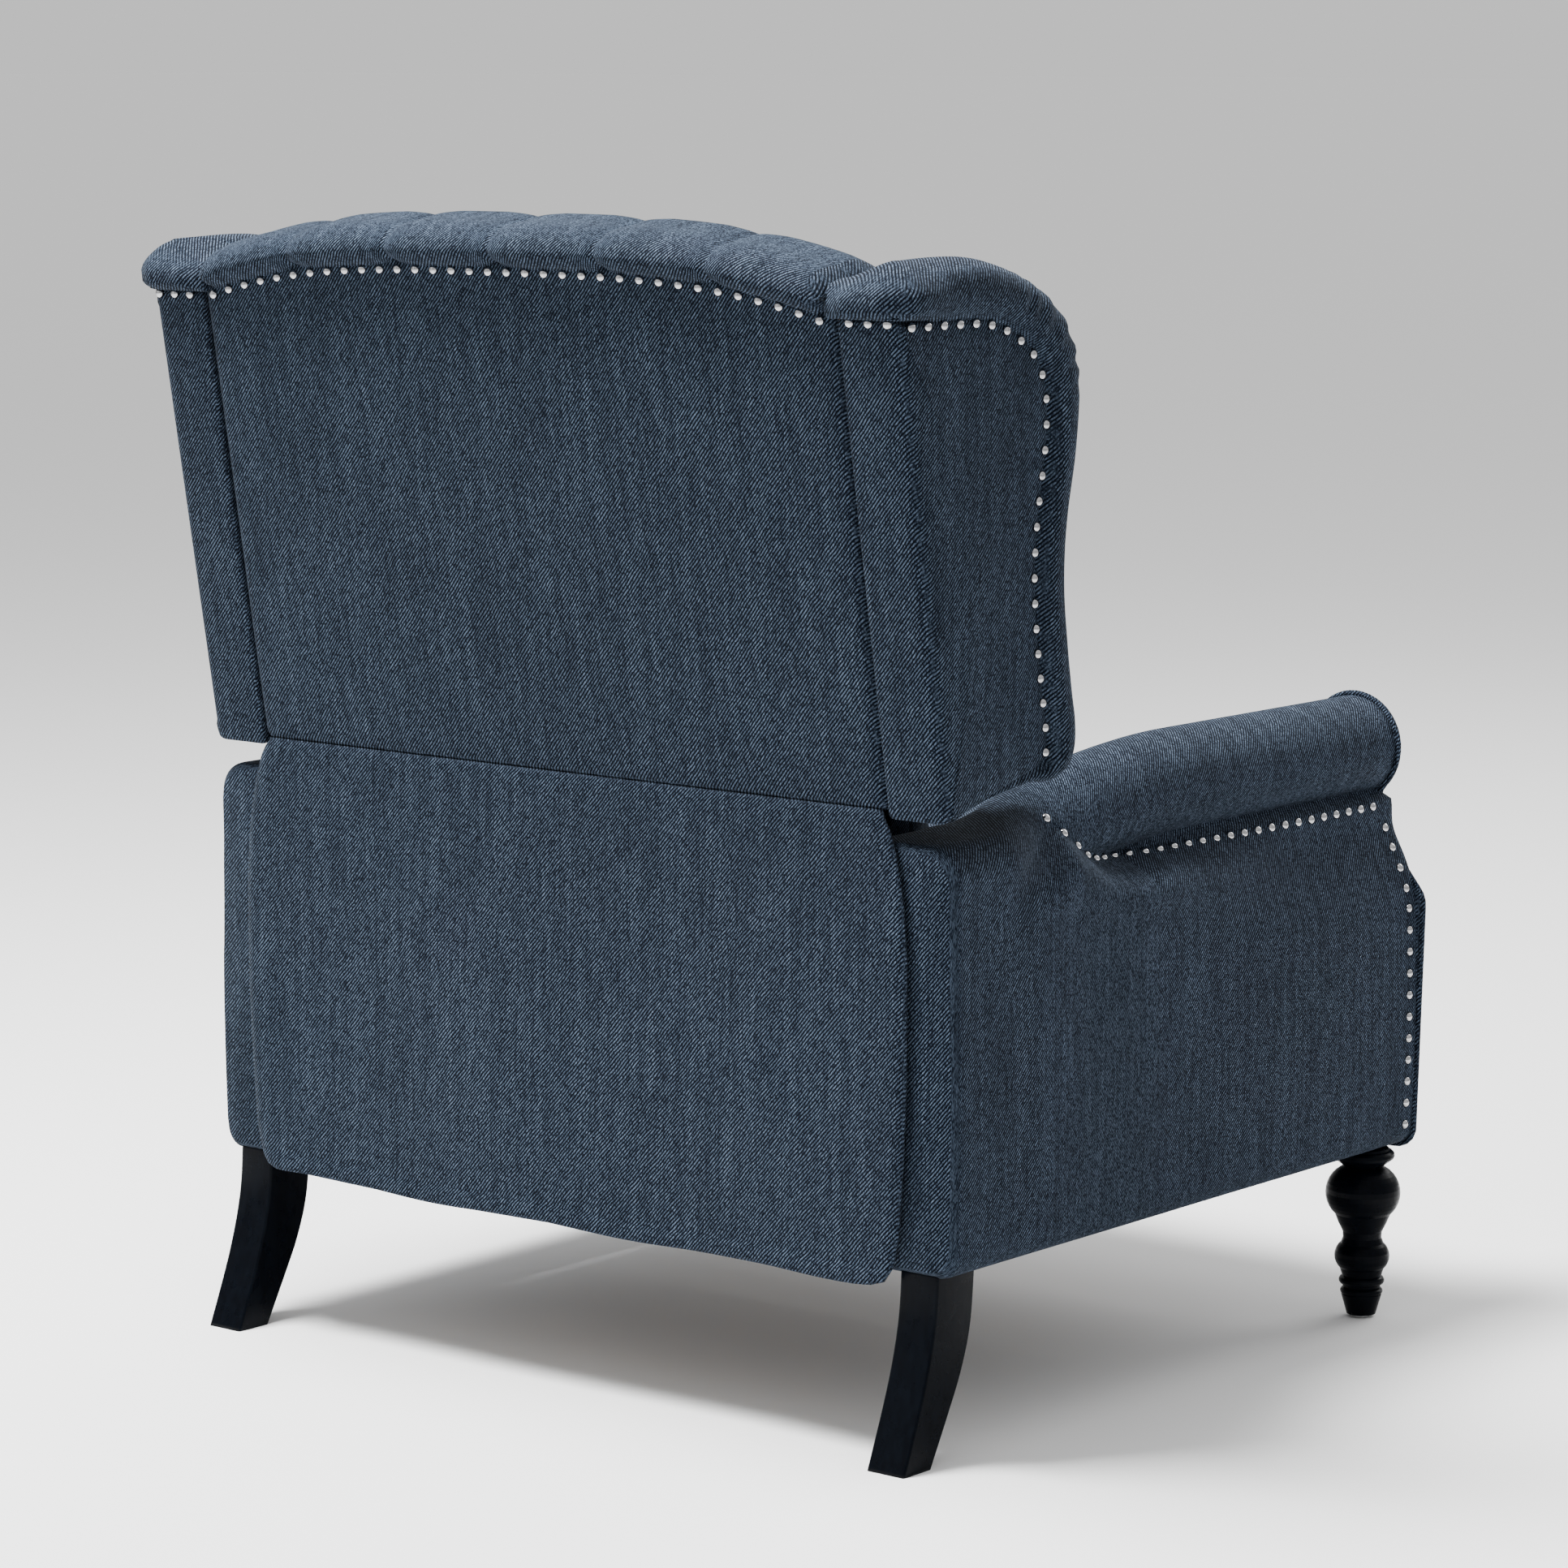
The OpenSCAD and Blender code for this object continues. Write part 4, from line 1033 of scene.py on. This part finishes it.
def rear_flap():
    """Cloth that hangs from the lower seam of the back, with a sewn hem."""
    cols, rows = 120, 100
    top = SEAM.z + 2 * MM
    rings = []
    for j in range(rows + 1):
        t = j / rows
        front, back = [], []
        for i in range(cols + 1):
            u = mix(-1, 1, i / cols)
            low = FLAP_LOW.z + 1 * MM + 1.75 * MM * (1 + math.sin(u * 9.0 + 0.6)) + 2 * MM * abs(u) ** 6
            z = mix(low, top, t)
            x = u * flap_half(z)
            wave = 2.2 * MM * math.sin(x * 16 + 0.5) + 1.4 * MM * noise.noise(Vector((x * 6, z * 4, 1.0)))
            wave *= smooth(0.0, 0.5, 1 - t)
            curl = 3.0 * MM * hump((1 - abs(u)) * flap_half(z), 7 * MM)
            hem = 1.1 * MM * smooth(0, 2.5 * MM, low + HEM - z)
            stitch = -0.9 * MM * hump(z - low - HEM, 1.6 * MM)
            tuck = 2.5 * MM * hump(top - z, 5 * MM)
            y = FLAP_LOW.y + 1.2 * MM + wave - curl - tuck
            front.append(Vector((x, y + FLAP_T / 2 + hem + stitch, z)))
            back.append(Vector((x, y - FLAP_T / 2, z)))
        rings.append(front + back[::-1])
    obj = loft("rear_flap", rings, TWILL_BOX)
    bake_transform(obj)
    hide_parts("rear_flap_lower", "rear_flap_upper")


rear_flap()


# ---- nails

NAIL_PITCH = 21.5 * MM
# how far the nails sit in from a panel's edge
NAIL_EDGE = 6.2 * MM
NAIL_R = 4.5 * MM
NAIL_SECTION = ((1.0, -0.15), (1.0, 0.06), (0.93, 0.26), (0.76, 0.46), (0.52, 0.60), (0.26, 0.68))
NAIL_TIP = 0.71
# places of the three nails across each rear strip
STRIP_NAILS = (0.388, 0.408, 0.428)
# the wing has nails above this height, and in front of this y
WING_NAIL_LOW, WING_NAIL_FRONT = 0.612, 0.187


def nail_row(name, places, body, node):
    section = [(r * NAIL_R, h * NAIL_R) for r, h in NAIL_SECTION]
    obj = domes(name, places, section, NICKEL, 14, NAIL_TIP * NAIL_R)
    dress(obj, body, (node,))


def spaced(points):
    """Places one nail pitch apart, or nearly so, along a polyline."""
    pts = [Vector(p) for p in points]
    total = sum((b - a).length for a, b in zip(pts, pts[1:]))
    return resample(pts, max(2, round(total / NAIL_PITCH) + 1))


def outward(normal, sign):
    return normal if normal.x * sign > 0 else -normal


def arm_nails():
    places = []
    for side, sign in SIDES.items():
        tree = surface_tree(bpy.data.objects[f"arm_upholstery_{side}"])
        for p in spaced(curve_through(flat(ARM_NAIL_LINE), 200)):
            place, normal = tree.ray_cast(Vector((sign * 0.6, p.x, p.y - 3 * MM)), Vector((-sign, 0, 0)))[:2]
            places.append((place, outward(normal, sign)))
        for p in spaced(curve_through(flat(ARM_NAIL_FRONT), 200)):
            guess = Vector((sign * (p.x + 0.004), ARM_FRONT + 23 * MM, p.y))
            place, normal = tree.find_nearest(guess)[:2]
            places.append((place, outward(normal, sign)))
    nail_row("arm_nail_heads", places, "base", "arm_nails")


def wing_nails():
    places = []
    edge = [(p, n) for p, n in wing_path(400) if p.y > WING_NAIL_LOW or p.x < WING_NAIL_FRONT]
    path = [(p.x - n.x * NAIL_EDGE, p.y - n.y * NAIL_EDGE, 0) for p, n in edge]
    for side, sign in SIDES.items():
        for p in spaced(path):
            places.append((Vector((sign * (WING_X + 1.0 * MM), p.x, p.y)), (sign, 0, 0)))
    nail_row("wing_nail_heads", places, "backrest", "wing_nails")


def back_nails():
    line = [(x * MM, arch_up(x * MM) - NAIL_EDGE, 0) for x in range(-357, 358)]
    places = [(on_back(p.x, 0.8 * MM, p.y), BACK_NORMAL) for p in spaced(line)]
    for x in STRIP_NAILS:
        for sign in (-1, 1):
            places.append((on_back(sign * x, 0.6 * MM, BACK_H - NAIL_EDGE), BACK_NORMAL))
    nail_row("back_nail_heads", places, "backrest", "back_nails")


arm_nails()
wing_nails()
back_nails()


# ---- cushions

def rounded_block(low, high, r):
    """A closed box of quads with rounded edges, as a start for the cloth simulation."""
    bm = bmesh.new()
    bmesh.ops.create_cube(bm, size=1.0)
    for v in bm.verts:
        v.co = Vector([mix(low[k], high[k], v.co[k] + 0.5) for k in range(3)])
    bmesh.ops.bevel(bm, geom=bm.edges[:], offset=r, segments=4, affect="EDGES", profile=0.5)
    mesh = bpy.data.meshes.new("block")
    bm.to_mesh(mesh)
    bm.free()
    return mesh


CLOTH = {"quality": 5, "mass": 0.35, "tension_stiffness": 12, "compression_stiffness": 12,
         "bending_stiffness": 0.8, "use_pressure": True, "uniform_pressure_force": 4.0}
CLOTH_FRAMES = 20


def simulate(obj):
    """Lets a skin swell as cloth under pressure, without weight."""
    cloth = obj.modifiers.new("cloth", "CLOTH")
    configure(cloth.settings, **CLOTH)
    cloth.settings.effector_weights.gravity = 0
    cloth.collision_settings.use_collision = False
    configure(cloth.point_cache, frame_start=1, frame_end=CLOTH_FRAMES)
    scene = bpy.context.scene
    for f in range(1, CLOTH_FRAMES + 1):
        scene.frame_set(f)
    apply_modifiers(obj)
    scene.frame_set(1)


def inflate(name, low, high, keep, r, voxel, cap):
    """A swollen block. No point moves further than cap, and keep(start, moved) returns where it may go."""
    obj = add(name, rounded_block(low, high, r))
    configure(obj.modifiers.new("remesh", "REMESH"), mode="VOXEL", voxel_size=voxel)
    apply_modifiers(obj)
    start = [v.co.copy() for v in obj.data.vertices]
    simulate(obj)
    for v, s in zip(obj.data.vertices, start):
        move = v.co - s
        if move.length > cap:
            move *= cap / move.length
        v.co = keep(s, s + move)
    configure(obj.modifiers.new("ease", "SMOOTH"), factor=0.5, iterations=4)
    configure(obj.modifiers.new("subdivide", "SUBSURF"), levels=1)
    apply_modifiers(obj)
    obj.data.materials.append(TWILL_BOX)
    obj.data.polygons.foreach_set("use_smooth", [True] * len(obj.data.polygons))
    return obj


def press(obj, depth):
    """Pushes a skin inward by depth(point), as a seam does."""
    moves = [v.normal * depth(v.co) for v in obj.data.vertices]
    for v, move in zip(obj.data.vertices, moves):
        v.co -= move


SEAT_LOW, SEAT_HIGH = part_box("seat_cushion")
FRAME_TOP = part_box("seat_side_boards")[1].z
# the cushions stay inside this half width, between the arms
CUSHION_HALF = ARM_IN - 4 * MM
# under the front of the back pad, from here to here in y, the cushion's top is held down
UNDER_PAD = (0.14, 0.20)


def seat_cushion():
    low = Vector((-SEAT_HIGH.x + 4 * MM, SEAT_LOW.y + 6 * MM, FRAME_TOP + 2 * MM))
    high = Vector((SEAT_HIGH.x - 4 * MM, SEAT_HIGH.y - 6 * MM, SEAT_HIGH.z - 10 * MM))
    middle = (low + high) / 2
    half_x, half_y = (high.x - low.x) / 2, (high.y - low.y) / 2

    def keep(start, p):
        u, v = (p.x - middle.x) / half_x, (p.y - middle.y) / half_y
        p.x = clamp(p.x, -CUSHION_HALF, CUSHION_HALF)
        p.y = clamp(p.y, SEAT_LOW.y - 8 * MM, SEAT_HIGH.y)
        if start.z > middle.z:
            crown = 17 * MM * max(0.0, 1 - u ** 4) * max(0.0, 1 - v ** 4)
            p.z = min(p.z, high.z + 3 * MM + crown + 8 * MM * smooth(0.3, 1.0, -v))
            if p.z > high.z - 4 * MM:
                p.z = max(p.z, high.z + crown - 6 * MM)
        p.z = max(p.z, FRAME_TOP + 0.6 * MM)
        if p.y > UNDER_PAD[0]:
            p.z = min(p.z, SEAT_HIGH.z + mix(4 * MM, -6 * MM, smooth(*UNDER_PAD, p.y)))
        return p

    obj = inflate("seat_cushion_cover", low, high, keep, r=0.026, voxel=0.0055, cap=0.026)
    obj.data.update()
    # the boxing seam runs round the cushion a little below its top
    seam_z = high.z - 14 * MM

    def seam(p):
        at_edge = abs(p.x) > half_x - 0.03 or abs(p.y - middle.y) > half_y - 0.03
        return at_edge * 2.4 * MM * hump(p.z - seam_z, 3.6 * MM)

    press(obj, seam)
    dress(obj, "seat", ("seat_cushion",))
    # piping on the seam, from one rear corner by the front to the other
    tree = surface_tree(obj)
    corners = [(middle.x + a * (half_x + 0.01), middle.y + b * (half_y + 0.01), seam_z)
               for a, b in ((-1, 1), (-1, -1), (1, -1), (1, 1))]
    path = []
    for p in resample(corners, 260):
        q = tree.find_nearest(p)[0]
        path.append(Vector((q.x, q.y, seam_z)))
    piping = tube("seat_piping", curve_through(resample(path, 90), 300), 2.6 * MM, TWILL_BOX)
    dress(piping, "seat")


def seat_front_border():
    """Padded cloth that covers the seat's front board."""
    cols, rows = 80, 24
    half = SEAT_HIGH.x - 1 * MM
    across = [mix(-half, half, i / cols) for i in range(cols + 1)]
    rings = []
    for j in range(rows + 1):
        z = mix(SEAT_LOW.z, FRAME_TOP + 14 * MM, j / rows)
        bulge = 4 * MM * math.sin(math.pi * j / rows) ** 0.6
        ring = []
        for x in across:
            end = 5 * MM * (abs(x) / SEAT_HIGH.x) ** 18
            ring.append(Vector((x, SEAT_LOW.y + 1 * MM - bulge + end, z)))
        ring += [Vector((x, SEAT_LOW.y + 10 * MM, z)) for x in reversed(across)]
        rings.append(ring)
    obj = loft("seat_front_border", rings, TWILL_BOX)
    dress(obj, "seat")


PAD_LOW, PAD_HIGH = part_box("footrest_pad")
BOARD_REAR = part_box("footrest_board")[1].y


def footrest_pad():
    low = Vector((PAD_LOW.x + 4 * MM, PAD_LOW.y + 6 * MM, PAD_LOW.z + 3 * MM))
    high = Vector((PAD_HIGH.x - 4 * MM, BOARD_REAR - 2 * MM, PAD_HIGH.z - 3 * MM))
    middle = (low + high) / 2

    def keep(start, p):
        p.x = clamp(p.x, -CUSHION_HALF, CUSHION_HALF)
        p.y = clamp(p.y, PAD_LOW.y - 8 * MM, BOARD_REAR + 1 * MM)
        p.z = clamp(p.z, PAD_LOW.z - 4 * MM, PAD_HIGH.z)
        return p

    obj = inflate("footrest_cover", low, high, keep, r=0.016, voxel=0.005, cap=0.014)
    press(obj, lambda p: 1.8 * MM * hump(p.y - high.y + 13 * MM, 3 * MM))
    dress(obj, "footrest", ("footrest_pad",))


seat_cushion()
seat_front_border()
footrest_pad()


# ---- legs

LEG_LOW, LEG_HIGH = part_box("rear_leg_left")
# front and rear edge of the curved leg, [y, z], from the floor up
LEG_FRONT_EDGE = ((0.324, 0.0), (0.300, 0.043), (0.281, 0.080), (0.2685, 0.119), (0.263, 0.170))
LEG_REAR_EDGE = ((0.363, 0.0), (0.342, 0.051), (0.3285, 0.090), (0.3195, 0.129), (0.316, 0.170))


def rear_leg(side, sign):
    rows = 48
    front = curve_through(flat(LEG_FRONT_EDGE), rows)
    back = curve_through(flat(LEG_REAR_EDGE), rows)
    r = 2.4 * MM
    rings = []
    for f, b in zip(front, back):
        ring = []
        for cx, cy, start in ((LEG_HIGH.x - r, b.x - r, 0), (LEG_LOW.x + r, b.x - r, 90),
                              (LEG_LOW.x + r, f.x + r, 180), (LEG_HIGH.x - r, f.x + r, 270)):
            z = f.y if cy < (f.x + b.x) / 2 else b.y
            ring += [Vector((sign * px, py, z)) for px, py in arc(cx, cy, r, start, start + 90, 6)]
        rings.append(ring)
    obj = loft(f"sabre_leg_{side}", rings, LACQUER)
    dress(obj, "base", (f"rear_leg_{side}",))


for side, sign in SIDES.items():
    rear_leg(side, sign)


# ---- studio, camera

def sky():
    """Soft studio light: bright above, a little dimmer at the level of the horizon."""
    world = bpy.data.worlds.new("studio")
    bpy.context.scene.world = world
    world.use_nodes = True
    tree = world.node_tree
    up = tree.nodes.new("ShaderNodeSeparateXYZ")
    tree.links.new(tree.nodes.new("ShaderNodeTexCoord").outputs["Generated"], up.inputs[0])
    ramp = tree.nodes.new("ShaderNodeMapRange")
    tree.links.new(up.outputs[2], ramp.inputs[0])
    for k, value in enumerate((0.0, 1.0, SKY_LOW, SKY_HIGH)):
        ramp.inputs[k + 1].default_value = value
    background = tree.nodes["Background"]
    background.inputs[0].default_value = (1, 1, 1, 1)
    tree.links.new(ramp.outputs[0], background.inputs[1])


SKY_LOW = 0.765
SKY_HIGH = 1.05
FLOOR_HALF = 150
# name, place, size and power of each soft lamp
LAMPS = (("key", (0.7, 1.0, 3.9), 1.4, 660), ("rear_fill", (2.6, 4.4, 1.6), 2.0, 10),
         ("front", (-0.6, -3.8, 2.8), 2.6, 90))


LAMP_AIM = Vector((0, 0, 0.5))


def looking(way):
    return way.to_track_quat("-Z", "Y").to_euler()


def studio():
    sky()
    s = Shader("pale_floor")
    s.set(Base_Color=(0.80, 0.80, 0.80, 1), Roughness=0.9, Specular_IOR_Level=0.1)
    corners = [(x * FLOOR_HALF, y * FLOOR_HALF, 0) for x, y in ((-1, -1), (1, -1), (1, 1), (-1, 1))]
    floor = piece("floor", corners, [(0, 1, 2, 3)], s.material, smooth_shade=False)
    for name, place, size, power in LAMPS:
        lamp = add(name, configure(bpy.data.lights.new(name, "AREA"), energy=power, size=size))
        lamp.location = place
        lamp.rotation_euler = looking(LAMP_AIM - Vector(place))


CAMERA_PLACE = Vector((-3.04765, 3.73480, 1.21539))
CAMERA_TURN = math.radians(219.2847)
CAMERA_RISE = math.radians(8.19246)
CAMERA_LENS = 118.26


def camera():
    cam = add("camera", configure(bpy.data.cameras.new("camera"), lens=CAMERA_LENS, sensor_width=36))
    level = math.cos(CAMERA_RISE)
    away = Vector((level * math.sin(CAMERA_TURN), -level * math.cos(CAMERA_TURN), math.sin(CAMERA_RISE)))
    cam.location = CAMERA_PLACE
    cam.rotation_euler = looking(-away)
    bpy.context.scene.camera = cam


studio()
camera()
